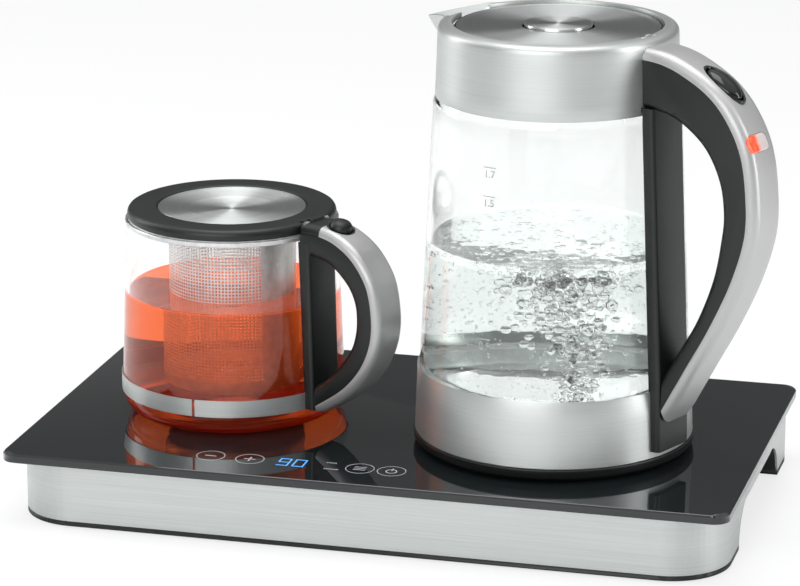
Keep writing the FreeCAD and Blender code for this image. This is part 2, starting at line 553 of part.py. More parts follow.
pot_grip_in = off_pot([(2.8, 142.5), (13.8, 140.6), (22.2, 135.7), (29.7, 128.4), (33.6, 120.5), (34.6, 112.0), (33.8, 103.2),
                       (30.6, 93.9), (23.3, 83.6), (13.8, 74.6), (5.8, 68.6)])
pot_part = off_pot([(-1.2, 155.6), (8.8, 155.2), (19.8, 152.8), (30.8, 146.8), (38.6, 138.6), (43.8, 129.0), (46.3, 114.2),
                    (45.6, 102.0), (41.6, 90.2), (34.8, 79.6), (23.8, 68.6), (5.8, 56.6)])
pot_crown = offset(pot_part, pot_cap_t)
pot_crown[-1] = (belly_r + 6.8, 52.2)
pot_body = turned([(0, 40), (clamp_r + 0.1, 40), (clamp_r + 0.1, clamp_high + 0.6), (belly_r + 0.2, clamp_high + 0.7)]
                  + [(r + 0.2, z) for r, z in pot_side] + [(rim_r + 0.5, 150.0), (rim_r + 1.3, 150.2), (rim_r + 1.3, 170), (0, 170)])
foot_x, head_x = belly_r + 5.4, belly_r + 2.4
pot_spine = side([[(belly_r - 3.2, 54.0), (foot_x, 54.0)], [(foot_x, 54.0), (head_x, 150.0)], [(head_x, 150.0), (rim_r - 3.2, 150.0)],
                  [(rim_r - 3.2, 150.0), (belly_r - 3.2, 54.0)]], pot_spine_w).cut(pot_body)
keep("pot_spine", max(pot_spine.Solids, key=lambda s: s.Volume), teapot)
behind = side([[(40, 40), (foot_x + 0.4, 40)], [(foot_x + 0.4, 40), (head_x, 150.0)], [(head_x, 150.0), (40.0, 150.0)],
               [(40.0, 150.0), (40, 40)]], 60)
pot_grip = side([pot_grip_in, [pot_grip_in[-1], pot_part[-1]], pot_part[::-1], [pot_part[0], pot_grip_in[0]]], pot_handle_w)
pot_cap = side([pot_part, [pot_part[-1], pot_crown[-1]], pot_crown[::-1], [pot_crown[0], pot_part[0]]], pot_handle_w)
pot_grip = pot_grip.cut(pot_body).cut(behind)
pot_cap = pot_cap.cut(pot_body).cut(behind)
clear = Part.makeCylinder(2.4 + 0.4, 12.2, Vector(pot_hinge_x, -6.1, pot_hinge_z), Vector(0, 1, 0))
clear = clear.fuse(block(rim_r - 9.2, pot_hinge_x + 1.0, -6.1, 6.1, 157.0, 170.0))
pot_cap = pot_cap.cut(clear).cut(block(rim_r - 9.2, rim_r + 1.4, -20, 20, 150, 170))
pot_axle = Part.makeCylinder(pin_r, 20.0, Vector(pot_hinge_x, -10, pot_hinge_z), Vector(0, 1, 0))
pot_cap = pot_cap.cut(disc(rim_r + 1.4, 149, 170))
pot_ears = [block(pot_hinge_x - 0.8, pot_hinge_x + 3.0, s, s + 3.8, 155.0, 162.0) for s in (-10.0, 6.2)]
pot_cap = all_of([pot_cap] + pot_ears).cut(pot_axle)
pot_x, pot_z = belly_r + 16.3, 158.6
pot_n = (0.30, 0.954)
pot_seat = tilt(disc(8.0 + fit, -7.0, 30), pot_x, pot_z, *pot_n)
pot_bore = tilt(disc(stem_r + 0.5, -12.0, 2), pot_x, pot_z, *pot_n)
pot_cap = pot_cap.cut(pot_seat)
pot_grip = pot_grip.cut(pot_seat).cut(pot_bore).cut(loose(pot_ears)).cut(pot_axle)
pot_well = turned([(stem_r + gap, -7.0), (8.0, -7.0), (8.0, 0.6), (6.8, 0.6), (6.8, -5.8), (stem_r + gap, -5.8)])
pot_press = turned([(0, -8.6), (stem_r, -8.6), (stem_r, -2.6), (6.2, -2.6), (6.2, 0.8), (5.0, 2.4), (2.6, 3.1), (0, 3.3)])
keep("pot_grip", max(pot_grip.Solids, key=lambda s: s.Volume), teapot)
keep("pot_cap", max(pot_cap.Solids, key=lambda s: s.Volume), teapot)
keep("pot_hinge_pin", pot_axle, teapot)
keep("pot_press_well", tilt(pot_well, pot_x, pot_z, *pot_n), teapot)
keep("pot_press", tilt(pot_press, pot_x, pot_z, *pot_n), teapot)

for name, shape in made.items():
    if not shape.isValid():
        print("not valid:", name)
    shape.exportStep("parts/" + name + ".step")
    b = shape.BoundBox
    print("%-20s solids %d  x %.1f %.1f  y %.1f %.1f  z %.1f %.1f  v %.0f" % (
        name, len(shape.Solids), b.XMin, b.XMax, b.YMin, b.YMax, b.ZMin, b.ZMax, shape.Volume))
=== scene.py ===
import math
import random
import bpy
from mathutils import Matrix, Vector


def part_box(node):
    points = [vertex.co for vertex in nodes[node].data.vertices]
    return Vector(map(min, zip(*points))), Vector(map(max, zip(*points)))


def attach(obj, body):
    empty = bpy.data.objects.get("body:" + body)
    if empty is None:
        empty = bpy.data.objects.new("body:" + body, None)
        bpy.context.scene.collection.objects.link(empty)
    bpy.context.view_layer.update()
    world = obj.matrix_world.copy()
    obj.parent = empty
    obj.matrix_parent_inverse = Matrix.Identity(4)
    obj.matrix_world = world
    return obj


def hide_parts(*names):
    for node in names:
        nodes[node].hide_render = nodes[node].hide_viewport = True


bl_info = {
    "name": "Tea Maker",
    "version": (1, 0, 0),
    "blender": (4, 5, 0),
    "location": "View3D > Sidebar > Tea Maker",
    "description": "Builds the glass kettle, teapot and heated base over their packed frame",
    "category": "Add Mesh",
}

import bmesh
import bpy
from bpy.props import FloatProperty, FloatVectorProperty, IntProperty, PointerProperty, StringProperty
from mathutils import Matrix, Vector

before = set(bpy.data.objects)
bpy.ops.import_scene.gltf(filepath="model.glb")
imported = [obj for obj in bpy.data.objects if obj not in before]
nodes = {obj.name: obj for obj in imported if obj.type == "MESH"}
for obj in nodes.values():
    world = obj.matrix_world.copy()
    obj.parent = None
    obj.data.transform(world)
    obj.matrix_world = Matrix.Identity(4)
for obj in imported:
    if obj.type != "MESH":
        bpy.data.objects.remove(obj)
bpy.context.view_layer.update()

MM = 0.001
KETTLE_SIDES = 160
POT_SIDES = 144
BUTTON_SIDES = 64
CUT_WIDTH = 60
AXIS_R = 0.004


def middle(node):
    """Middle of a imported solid, at table height."""
    low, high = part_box(node)
    return Vector(((low[0] + high[0]) / 2, (low[1] + high[1]) / 2, 0.0))


def turn(degrees, axis="Z"):
    return Matrix.Rotation(math.radians(degrees), 4, axis)


def shift(x, y, z):
    """A move in millimetres."""
    return Matrix.Translation((x * MM, y * MM, z * MM))


# Both vessels are modelled about the Z axis with their handle along +X, then turned and moved.
HANDLE_TURN = -23.5
SCALE_TURN = -108.6
KETTLE_AT, TEAPOT_AT, PLATE_AT = middle("kettle_glass"), middle("pot_glass"), middle("glass_top")
PLATE_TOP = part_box("glass_top")[1][2] / MM
KETTLE_PLACE = Matrix.Translation(KETTLE_AT) @ turn(HANDLE_TURN)
TEAPOT_PLACE = Matrix.Translation(TEAPOT_AT) @ turn(HANDLE_TURN)


# Modelling helpers, all sizes in millimetres

def nothing_selected():
    if bpy.context.object and bpy.context.object.mode != "OBJECT":
        bpy.ops.object.mode_set(mode="OBJECT")
    bpy.ops.object.select_all(action="DESELECT")


def only(obj):
    nothing_selected()
    obj.select_set(True)
    bpy.context.view_layer.objects.active = obj


def edit():
    bpy.ops.object.mode_set(mode="EDIT")


def pick_all():
    bpy.ops.mesh.select_all(action="SELECT")


def pick_edges(test):
    """Select the edges of the open mesh whose ends pass the test together."""
    bpy.ops.mesh.select_all(action="DESELECT")
    bpy.ops.mesh.select_mode(type="EDGE")
    mesh = bmesh.from_edit_mesh(bpy.context.object.data)
    for e in mesh.edges:
        if test(e.verts[0].co, e.verts[1].co):
            e.select_set(True)
    bmesh.update_edit_mesh(bpy.context.object.data)


def rounded(radius, segments):
    bpy.ops.mesh.bevel(offset=radius * MM, segments=segments, affect="EDGES")


def pull(x, y, z):
    """Extrude what is selected by a distance in metres."""
    bpy.ops.mesh.extrude_region_move(TRANSFORM_OT_translate={"value": (x, y, z)})


def applied():
    """Put the place, turn and scale of the active piece into its mesh."""
    bpy.ops.object.transform_apply(location=True, rotation=True, scale=True)


def smoothed(angle):
    bpy.ops.object.shade_smooth_by_angle(angle=math.radians(angle))


def done(name, angle=35.0):
    """Leave edit mode with the normals outwards, name the piece and smooth it."""
    pick_all()
    bpy.ops.mesh.remove_doubles(threshold=2e-6)
    bpy.ops.mesh.normals_make_consistent(inside=False)
    bpy.ops.object.mode_set(mode="OBJECT")
    obj = bpy.context.object
    obj.name = name
    smoothed(angle)
    return obj


def new_piece(name):
    """An empty mesh piece, selected and active."""
    obj = bpy.data.objects.new(name, bpy.data.meshes.new(name))
    bpy.context.scene.collection.objects.link(obj)
    only(obj)
    return obj


def turned(name, profile, sides=BUTTON_SIDES, closed=True, angle=35.0):
    """Turn (radius, z) points about Z, ring after ring, as on a lathe."""
    points = [(max(r, AXIS_R) * MM, z * MM) for r, z in profile]
    if closed:
        points.append(points[0])
    r0, z0 = points[0]
    nothing_selected()
    bpy.ops.mesh.primitive_circle_add(vertices=sides, radius=r0, location=(0, 0, z0))
    edit()
    bpy.ops.mesh.select_mode(type="VERT")
    pick_all()
    for r, z in points[1:]:
        pull(0, 0, z - z0)
        if abs(r - r0) > 1e-9:
            bpy.ops.transform.resize(value=(r / r0, r / r0, 1.0), center_override=(0, 0, 0))
        r0, z0 = r, z
    pick_all()
    bpy.ops.mesh.remove_doubles(threshold=9e-6)
    return done(name, angle)


def smooth_run(points, steps):
    """Points along a soft curve through the given ones."""
    out = []
    last = len(points) - 1
    for i in range(last):
        four = points[max(i - 1, 0)], points[i], points[i + 1], points[min(i + 2, last)]
        for s in range(steps):
            t = s / steps
            out.append(tuple(0.5 * (2 * b + (c - a) * t + (2 * a - 5 * b + 4 * c - d) * t * t
                                    + (3 * b - a - 3 * c + d) * t ** 3) for a, b, c, d in zip(*four)))
    return out + [tuple(points[last])]


def offset(points, d):
    """The run moved sideways by d, to the left of its direction."""
    out = []
    for i, (x, z) in enumerate(points):
        a, b = points[max(i - 1, 0)], points[min(i + 1, len(points) - 1)]
        n = math.hypot(b[0] - a[0], b[1] - a[1])
        out.append((x - (b[1] - a[1]) / n * d, z + (b[0] - a[0]) / n * d))
    return out


def sawn(points, width):
    """Draw a closed XZ outline corner by corner and pull it out evenly about y = 0."""
    pts = [(x * MM, z * MM) for x, z in points]
    half = width * MM / 2
    x0, z0 = pts[0]
    nothing_selected()
    bpy.ops.mesh.primitive_plane_add(size=0.0001, location=(x0, -half, z0))
    edit()
    bpy.ops.mesh.select_mode(type="VERT")
    pick_all()
    bpy.ops.mesh.merge(type="CENTER")
    for x, z in pts[1:]:
        bpy.ops.mesh.extrude_vertices_move(TRANSFORM_OT_translate={"value": (x - x0, 0, z - z0)})
        x0, z0 = x, z
    pick_all()
    bpy.ops.mesh.edge_face_add()
    pull(0, 2 * half, 0)
    pick_all()
    bpy.ops.mesh.normals_make_consistent(inside=False)
    bpy.ops.object.mode_set(mode="OBJECT")
    applied()
    return bpy.context.object


def near_line(points, tol):
    """A test for places within tol of a run of XZ points."""
    line = [Vector((x * MM, z * MM)) for x, z in points]

    def test(co):
        p = Vector((co.x, co.z))
        best = math.inf
        for a, b in zip(line, line[1:]):
            d = b - a
            t = max(0.0, min(1.0, (p - a).dot(d) / max(d.length_squared, 1e-12)))
            best = min(best, (a + d * t - p).length)
        return best < tol * MM
    return test


def swept(name, outline, width, rounds):
    """A sawn piece whose rims along the given runs are rounded: (run, radius, segments)."""
    sawn(outline, width)
    edit()
    half = width * MM / 2
    for run, soft, segments in rounds:
        near = near_line(run, 0.12)
        pick_edges(lambda a, b: near(a) and near(b) and a.y * b.y > 0 and abs(abs(a.y) - half) < 1e-6)
        rounded(soft, segments)
    return done(name)


def carved(obj, *cutters):
    """Cut the given pieces out of obj and throw them away."""
    for cutter in cutters:
        only(obj)
        cut = obj.modifiers.new("cut", "BOOLEAN")
        cut.operation = "DIFFERENCE"
        cut.solver = "EXACT"
        cut.object = cutter
        bpy.ops.object.modifier_apply(modifier=cut.name)
        bpy.data.objects.remove(cutter)
    only(obj)
    smoothed(35)
    return obj


def box_piece(name, low, high, soft=0.0):
    """A block between two corners, its edges softened."""
    nothing_selected()
    mid = [(a + b) / 2 * MM for a, b in zip(low, high)]
    bpy.ops.mesh.primitive_cube_add(size=1.0, location=mid)
    edit()
    pick_all()
    bpy.ops.transform.resize(value=[(b - a) * MM for a, b in zip(low, high)], center_override=mid)
    if soft:
        rounded(soft, 3)
    return done(name)


def hull(name, points):
    """The smallest convex block round some points."""
    obj = new_piece(name)
    build = bmesh.new()
    for p in points:
        build.verts.new([v * MM for v in p])
    bmesh.ops.convex_hull(build, input=build.verts)
    build.to_mesh(obj.data)
    build.free()
    edit()
    return done(name)


def pill(name, half_x, half_y, low, high, corner, soft=0.0):
    """A window block with its upright corners rounded and its top rim softened."""
    nothing_selected()
    bpy.ops.mesh.primitive_cube_add(size=1.0, location=(0, 0, (low + high) / 2 * MM))
    bpy.ops.transform.resize(value=(2 * half_x * MM, 2 * half_y * MM, (high - low) * MM))
    applied()
    edit()
    pick_edges(lambda a, b: abs(a.z - b.z) > 1e-4)
    rounded(corner, 6)
    if soft:
        pick_edges(lambda a, b: min(a.z, b.z) > (high - 0.01) * MM)
        rounded(soft, 3)
    return done(name)


def copied(node, name, angle=30.0):
    """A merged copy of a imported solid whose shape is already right."""
    obj = nodes[node].copy()
    obj.data = nodes[node].data.copy()
    obj.parent = None
    bpy.context.scene.collection.objects.link(obj)
    obj.matrix_world = nodes[node].matrix_world.copy()
    obj.hide_render = False
    only(obj)
    applied()
    edit()
    pick_all()
    bpy.ops.mesh.remove_doubles(threshold=1e-5)
    bpy.ops.object.mode_set(mode="OBJECT")
    obj.name = name
    smoothed(angle)
    return obj


def joined(pieces, name):
    nothing_selected()
    for p in pieces:
        p.select_set(True)
    bpy.context.view_layer.objects.active = pieces[0]
    bpy.ops.object.join()
    pieces[0].name = name
    return pieces[0]


def placed(obj, place=Matrix()):
    """Move a finished piece, with its place put into its mesh."""
    only(obj)
    obj.matrix_world = place @ obj.matrix_world
    applied()
    return obj


def finish(obj, body, paint, *replaces, slot=None):
    """Give a piece its finish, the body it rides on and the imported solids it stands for."""
    usual_slot, material = finishes[paint]
    obj.data.materials.clear()
    obj.data.materials.append(material)
    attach(obj, body)
    if replaces:
        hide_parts(*replaces)


def on_kettle(obj, paint, *replaces, body="kettle"):
    finish(placed(obj, KETTLE_PLACE), body, paint, *replaces)


def on_teapot(obj, paint, *replaces, body="teapot", slot=None):
    finish(placed(obj, TEAPOT_PLACE), body, paint, *replaces, slot=slot)


# Materials

class Value:
    """A node socket that takes Python arithmetic."""

    def __init__(self, tree, socket):
        self.tree, self.socket = tree, socket

    def _math(self, operation, other):
        return self.tree.node("ShaderNodeMath", {"operation": operation}, [self, other])

    def __add__(self, other):
        return self._math("ADD", other)

    def __mul__(self, other):
        return self._math("MULTIPLY", other)

    __radd__ = __add__
    __rmul__ = __mul__


class Tree:
    """A node tree that is filled through one method."""

    def __init__(self, tree):
        self.tree = tree
        tree.nodes.clear()

    def put(self, socket, value):
        if isinstance(value, Value):
            self.tree.links.new(value.socket, socket)
        elif socket.type == "RGBA":
            socket.default_value = (*value, 1.0)
        else:
            socket.default_value = value

    def node(self, kind, settings=None, inputs=(), output=0):
        """A node with its settings, its inputs by name or in order, and the output asked for."""
        n = self.tree.nodes.new(kind)
        for key, value in (settings or {}).items():
            setattr(n, key, value)
        for key, value in inputs.items() if isinstance(inputs, dict) else enumerate(inputs):
            self.put(n.inputs[key], value)
        return Value(self, n.outputs[output]) if n.outputs else n

    def ramp(self, value, low, high, a=0.0, b=1.0, kind="LINEAR"):
        return self.node("ShaderNodeMapRange", {"interpolation_type": kind},
                         {"Value": value, "From Min": low, "From Max": high, "To Min": a, "To Max": b})


class Paint(Tree):
    """One material, ending in a Principled shader."""

    sockets = {"colour": "Base Color", "rough": "Roughness", "metal": "Metallic", "normal": "Normal",
               "coat": "Coat Weight", "coat_rough": "Coat Roughness", "ior": "IOR",
               "clear": "Transmission Weight", "specular": "Specular IOR Level", "aniso": "Anisotropic",
               "aniso_turn": "Anisotropic Rotation", "glow": "Emission Color",
               "glow_strength": "Emission Strength"}

    def __init__(self, name):
        self.material = bpy.data.materials.new(name)
        self.material.use_nodes = True
        super().__init__(self.material.node_tree)
        self.shine = self.node("ShaderNodeBsdfPrincipled")
        self.out = self.node("ShaderNodeOutputMaterial", {}, {"Surface": self.shine})

    def set(self, **values):
        for key, value in values.items():
            self.put(self.shine.socket.node.inputs[self.sockets[key]], value)
        return self.material

    def at(self):
        return self.node("ShaderNodeTexCoord", output="Object")

    def noise(self, size=1.0, detail=2.0, rough=0.5, scale=(1, 1, 1)):
        place = self.node("ShaderNodeMapping", {}, {"Vector": self.at(), "Scale": scale})
        return self.node("ShaderNodeTexNoise", {}, {"Vector": place, "Scale": size, "Detail": detail,
                                                    "Roughness": rough})

    def mix(self, factor, a, b):
        return self.node("ShaderNodeMix", {"data_type": "RGBA"}, {0: factor, 6: a, 7: b}, output=2)

    def mottle(self, mark, low, high, dark, light):
        """A colour that goes from dark to light while the mark goes from low to high."""
        return self.mix(self.ramp(mark, low, high), dark, light)

    def bump(self, height, strength, distance):
        return self.node("ShaderNodeBump", {}, {"Height": height, "Strength": strength,
                                                "Distance": distance})


NEUTRAL = (1.0, 1.0, 1.0)
STEEL_TINT = (0.955, 1.0, 0.985)
PLASTIC_TINT = (0.82, 1.04, 1.06)


def shade(tint, level):
    return tuple(part * level for part in tint)


def brushed(name, tone, aniso, streaks):
    """Stainless steel with long hairlines that run level round the piece."""
    p = Paint(name)
    fine = p.noise(detail=3.0, rough=0.6, scale=(11.0, 11.0, 4200.0))
    broad = p.noise(scale=(4.0, 4.0, 900.0))
    streak = fine * 0.8 + broad * 0.2
    dull = p.noise(scale=(14, 14, 14))
    dark, light = shade(STEEL_TINT, tone * (1 - streaks)), shade(STEEL_TINT, tone * (1 + streaks))
    return p.set(colour=p.mottle(streak, 0.32, 0.68, dark, light), metal=0.82, aniso=aniso, aniso_turn=0.25,
                 rough=p.ramp(streak * 0.75 + dull * 0.25, 0.3, 0.7, 0.38, 0.47),
                 normal=p.bump(streak, 0.05, 0.00004))


def turned_steel(name, centre, tone):
    """Steel finished on a lathe: fine rings round an upright axis."""
    p = Paint(name)
    flat = p.node("ShaderNodeVectorMath", {"operation": "MULTIPLY"}, [p.at(), (1.0, 1.0, 0.0)])
    axis = (centre.x, centre.y, 0.0)
    radius = p.node("ShaderNodeVectorMath", {"operation": "DISTANCE"}, [flat, axis], output="Value")

    def rings(size, detail):
        return p.node("ShaderNodeTexNoise", {"noise_dimensions": "1D"},
                      {"W": radius, "Scale": size, "Detail": detail})

    mark = rings(2600, 3) * 0.7 + rings(260, 1) * 0.3
    colour = p.mottle(mark, 0.3, 0.7, shade(STEEL_TINT, tone * 0.88), shade(STEEL_TINT, tone * 1.08))
    return p.set(colour=colour, metal=1.0, rough=p.ramp(mark, 0.3, 0.7, 0.29, 0.38), aniso=0.9,
                 aniso_turn=0.25, normal=p.bump(mark, 0.08, 0.00005))


def black_plastic(name, tone, rough, grain):
    p = Paint(name)
    fine = p.noise(2600.0, 2.0, 0.6)
    wear = p.noise(38, 3)
    colour = p.mottle(wear, 0.35, 0.7, shade(PLASTIC_TINT, tone * 0.85), shade(PLASTIC_TINT, tone * 1.2))
    return p.set(colour=colour, normal=p.bump(fine, grain, 0.00006), ior=1.49,
                 rough=p.ramp(wear * 0.6 + fine * 0.4, 0.35, 0.65, rough - 0.05, rough + 0.06))


def silver_paint(name, tone):
    p = Paint(name)
    flake = p.noise(5200, 1)
    cloud = p.noise(26.0)
    colour = p.mottle(flake, 0.35, 0.65, shade(NEUTRAL, tone * 0.92), shade(NEUTRAL, tone * 1.06))
    return p.set(colour=colour, metal=0.62, rough=p.ramp(flake * 0.5 + cloud * 0.5, 0.35, 0.65, 0.38, 0.47),
                 normal=p.bump(flake, 0.05, 0.00005), coat=0.12, coat_rough=0.3)


def plain_metal(name, tone, rough, metal=1.0):
    p = Paint(name)
    spot = p.noise(240, 3)
    return p.set(colour=p.mottle(spot, 0.35, 0.65, shade(tone, 0.82), tone), metal=metal,
                 normal=p.bump(spot, 0.06, 0.0001), rough=p.ramp(spot, 0.3, 0.7, rough - 0.06, rough + 0.08))


def rubber(name, tone, rough):
    p = Paint(name)
    spot = p.noise(900.0)
    return p.set(colour=p.mix(spot, tone, shade(tone, 1.3)), normal=p.bump(spot, 0.08, 0.00008),
                 rough=p.ramp(spot, 0.3, 0.7, rough - 0.05, rough + 0.08))


def black_glass(name):
    p = Paint(name)
    haze = p.noise(11, 3)
    colour = p.mottle(haze, 0.3, 0.7, (0.0075, 0.0105, 0.0115), (0.0105, 0.0140, 0.0150))
    return p.set(colour=colour, rough=p.ramp(haze, 0.3, 0.7, 0.015, 0.035), ior=1.52,
                 coat=0.2, coat_rough=0.01)


def clear_glass(name):
    p = Paint(name)
    wave = p.noise(30.0, 1.0, scale=(1, 1, 0.35))
    return p.set(colour=(0.985, 0.995, 0.992), rough=p.ramp(wave, 0.3, 0.7, 0.0, 0.012), clear=1.0,
                 ior=1.45, normal=p.bump(wave, 0.02, 0.0004))


def liquid(name, colour, ior, clear=1.0, ripple=0.0, level=0.0, skin=None, body=None):
    """A clear drink. Given skin and body colours, it also glows with painted light: in the body colour below
    a level in metres, and in patches of the skin colour above it.
    """
    p = Paint(name)
    p.set(colour=colour, rough=0.0, clear=clear, ior=ior)
    if ripple:
        p.set(normal=p.bump(p.noise(55.0), ripple, 0.002))
    # Painted light: a glow on the drink, in patches on its upper skin, that stands in for light reaching it
    if skin:
        high = p.node("ShaderNodeSeparateXYZ", {}, [p.at()], output="Z")
        glow_patches = p.ramp(p.noise(60, 3), 0.35, 0.65, 0.6, 1.0)
        top = p.ramp(high, level - 0.0012, level - 0.0003)
        p.set(glow=p.mix(top * glow_patches, body, skin), glow_strength=1.0)
    return p.material


def printed(name, tone):
    p = Paint(name)
    spot = p.noise(700.0)
    return p.set(colour=p.mix(spot, shade(tone, 0.9), tone), rough=p.ramp(spot, 0.3, 0.7, 0.45, 0.6))


def lit(name, colour):
    p = Paint(name)
    spot = p.noise(400, 1)
    return p.set(colour=(0.0, 0.0, 0.0), glow=p.mix(spot, shade(colour, 0.8), colour), glow_strength=1.6,
                 rough=0.4)


def lamp_window(name):
    """Clear window: the half toward the lamp shines red, the rest is smoky and clear."""
    p = Paint(name)
    level_at = p.node("ShaderNodeVectorRotate", {"rotation_type": "Z_AXIS"},
                      {"Vector": p.at(), "Center": tuple(KETTLE_AT), "Angle": math.radians(-HANDLE_TURN)})
    across = p.node("ShaderNodeSeparateXYZ", {}, [level_at], output="Y")
    lamp = p.ramp(across, KETTLE_AT.y - 0.0012, KETTLE_AT.y - 0.0046)
    cell = p.noise(420.0)
    red = p.mottle(cell, 0.42, 0.62, (0.85, 0.07, 0.02), (1.0, 0.35, 0.12))
    return p.set(colour=p.mix(lamp, (0.62, 0.55, 0.54), (0.80, 0.07, 0.03)),
                 glow=p.mix(lamp, (0.10, 0.07, 0.06), red), glow_strength=0.40,
                 rough=p.ramp(cell, 0.3, 0.7, 0.08, 0.16), coat=1.0, coat_rough=0.04)


finishes = {}


def make_finishes():
    """Every finish under its short name, with the slot that it usually fills."""
    s = settings()
    # For the water and the tea, the last two colours are painted glow: first on the upper skin, then through
    # the body
    water = liquid("Boiling water", (0.91, 0.95, 0.935), 1.14, 0.95, 0.3, s.water_level - 0.004,
                   (0.16, 0.175, 0.17), (0.0, 0.0, 0.0))
    tea = liquid("Red tea", tuple(s.tea_colour), 1.10, 0.93, 0.0, s.tea_level,
                 (0.26, 0.032, 0.008), (0.022, 0.0012, 0.0004))
    finishes.update({
        "steel": ("steel", brushed("Brushed steel", 0.58, 0.35, 0.08)),
        "band_steel": ("steel", brushed("Brushed steel band", 0.54, 0.25, 0.13)),
        "lid_steel": ("steel", turned_steel("Turned lid steel", KETTLE_AT, 0.66)),
        "dish_steel": ("steel", turned_steel("Turned dish steel", TEAPOT_AT, 0.86)),
        "mesh_steel": ("steel", plain_metal("Infuser steel", (0.78, 0.79, 0.78), 0.5, 0.85)),
        # Heater steel: pale and mostly non-metallic, which is painted light standing in for the light that
        # the glass keeps from it
        "heater_steel_with_painted_light": ("steel", plain_metal("Heater steel with painted light", (0.86, 0.87, 0.86), 0.46, 0.35)),
        "black": ("black_plastic", black_plastic("Satin black plastic", 0.0065, 0.42, 0.06)),
        "gloss": ("gloss_black", black_plastic("Gloss black plastic", 0.010, 0.13, 0.02)),
        "silver": ("silver_paint", silver_paint("Satin silver paint", 0.47)),
        "plate": ("black_glass", black_glass("Black plate glass")),
        "glass": ("clear_glass", clear_glass("Clear glass")),
        "water": ("clear_glass", water),
        "bubble": ("clear_glass", liquid("Steam bubble", (1.0, 1.0, 1.0), 1.22)),
        "tea": ("clear_glass", tea),
        "rubber": ("rubber", rubber("Matt rubber", (0.02, 0.02, 0.02), 0.62)),
        "silicone": ("rubber", rubber("Pale silicone", (0.62, 0.62, 0.60), 0.5)),
        "aluminium": ("steel", plain_metal("Sheet aluminium", (0.72, 0.72, 0.73), 0.34)),
        "zinc": ("steel", plain_metal("Zinc-plated steel", (0.56, 0.56, 0.58), 0.33)),
        "brass": ("steel", plain_metal("Plain brass", (0.72, 0.52, 0.22), 0.28)),
        "board": ("black_plastic", rubber("Circuit board", (0.02, 0.12, 0.05), 0.4)),
        "print": ("black_glass", printed("Pale print", (0.52, 0.54, 0.55))),
        "scale": ("clear_glass", printed("Scale print", (0.42, 0.44, 0.46))),
        "digits": ("gloss_black", lit("Blue digits", tuple(s.display_colour))),
        "lens": ("lamp", lamp_window("Lamp window")),
    })


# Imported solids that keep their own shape, each with its finish
HIDDEN = {
    "deck": "black", "housing_screws": "zinc", "warming_plate": "aluminium", "warming_element": "zinc",
    "warming_brace": "zinc", "heat_sensor": "brass", "control_board": "board", "touch_springs": "zinc",
    "display": "gloss", "power_board": "board", "thermostat": "black", "heating_element": "aluminium",
    "lower_seal": "silicone", "upper_seal": "silicone", "lid_hinge_pin": "zinc", "pot_hinge_pin": "zinc",
    "contact_pin": "brass", "rubber_feet": "rubber", "cord_gland": "rubber", "spout_filter": "black",
}


# Settings

class TeaSettings(bpy.types.PropertyGroup):
    hole_pitch: FloatProperty(name="Infuser pitch", description="Distance between the holes of the infuser",
                              default=0.00192, min=0.001, max=0.004, unit="LENGTH")
    bubbles: IntProperty(name="Bubbles", description="How many bubbles rise in the boiling water",
                         default=2300, min=0, max=3000)
    degrees: StringProperty(name="Display", description="Number that the display shows",
                            default="90", maxlen=3)
    display_colour: FloatVectorProperty(name="Display colour", description="Light of the display's digits",
                                        default=(0.10, 0.42, 1.0), min=0, max=1, subtype="COLOR")
    tea_level: FloatProperty(name="Tea level", description="Height of the tea above the table",
                             default=0.1115, unit="LENGTH")
    tea_colour: FloatVectorProperty(name="Tea colour", description="Colour of the light through the tea",
                                    default=(0.99, 0.16, 0.03), min=0, max=1, subtype="COLOR")
    water_level: FloatProperty(name="Water level", description="Height of the water above the table",
                               default=0.1590, unit="LENGTH")


def settings():
    return bpy.context.scene.tea_maker


# The heated base

class TEA_OT_base(bpy.types.Operator):
    """Glass plate, steel band, housing and rear panel of the heated base"""
    bl_idname = "tea.base"
    bl_label = "Heated base"

    def execute(self, context):
        finish(copied("glass_top", "glass_plate", 20), "base", "plate", "glass_top")
        finish(copied("steel_band", "base_band"), "base", "band_steel", "steel_band")
        finish(copied("housing", "base_housing"), "base", "black", "housing")
        finish(copied("rear_panel", "base_rear_panel"), "base", "black", "rear_panel")
        return {"FINISHED"}


class TEA_OT_connector(bpy.types.Operator):
    """Round connector that the kettle stands on, and its socket in the kettle"""
    bl_idname = "tea.connector"
    bl_label = "Connector"

    def execute(self, context):
        on_kettle(turned("base_connector", [
            (3.3, 27.5), (25.9, 27.5), (25.9, 36.6), (18, 36.6), (18, 48.6), (17.4, 49.6), (16.4, 50),
            (15.9, 49.8), (15.5, 49.2), (15.5, 43), (13.5, 43), (13.5, 49.2), (13, 49.8), (11.5, 49.8),
            (11, 49.2), (11, 43), (9, 43), (9, 49.2), (8.4, 50), (6, 50), (5.4, 49.4), (5.4, 44), (3.3, 44),
        ], 72), "black", "connector", "connector_seat", body="base")
        on_kettle(turned("kettle_socket_cup", [
            (18.8, 44.4), (19.2, 44), (23.6, 44), (24, 44.4), (24, 59.6), (23.6, 60), (0, 60), (0, 57.6),
            (3.6, 57.6), (3.6, 50.8), (18.8, 50.8),
        ], 72), "black", "kettle_socket", body="kettle_socket")
        return {"FINISHED"}


PRINT_Z = PLATE_TOP + 0.02
PRINT_HIGH = 0.04
KEYS_Y = -91.6
KEYS_X = [PLATE_AT.x / MM + d for d in (-88.8, -66.4, -3.9, 13.9)]
DIGIT_WIDE, DIGIT_HIGH, DIGIT_GAP, DIGIT_STROKE = 6.8, 11.8, 2.0, 1.05
SEGMENTS = {"0": "abcdef", "1": "bc", "2": "abged", "3": "abgcd", "4": "fgbc", "5": "afgcd",
            "6": "afgedc", "7": "abc", "8": "abcdefg", "9": "abcdfg"}


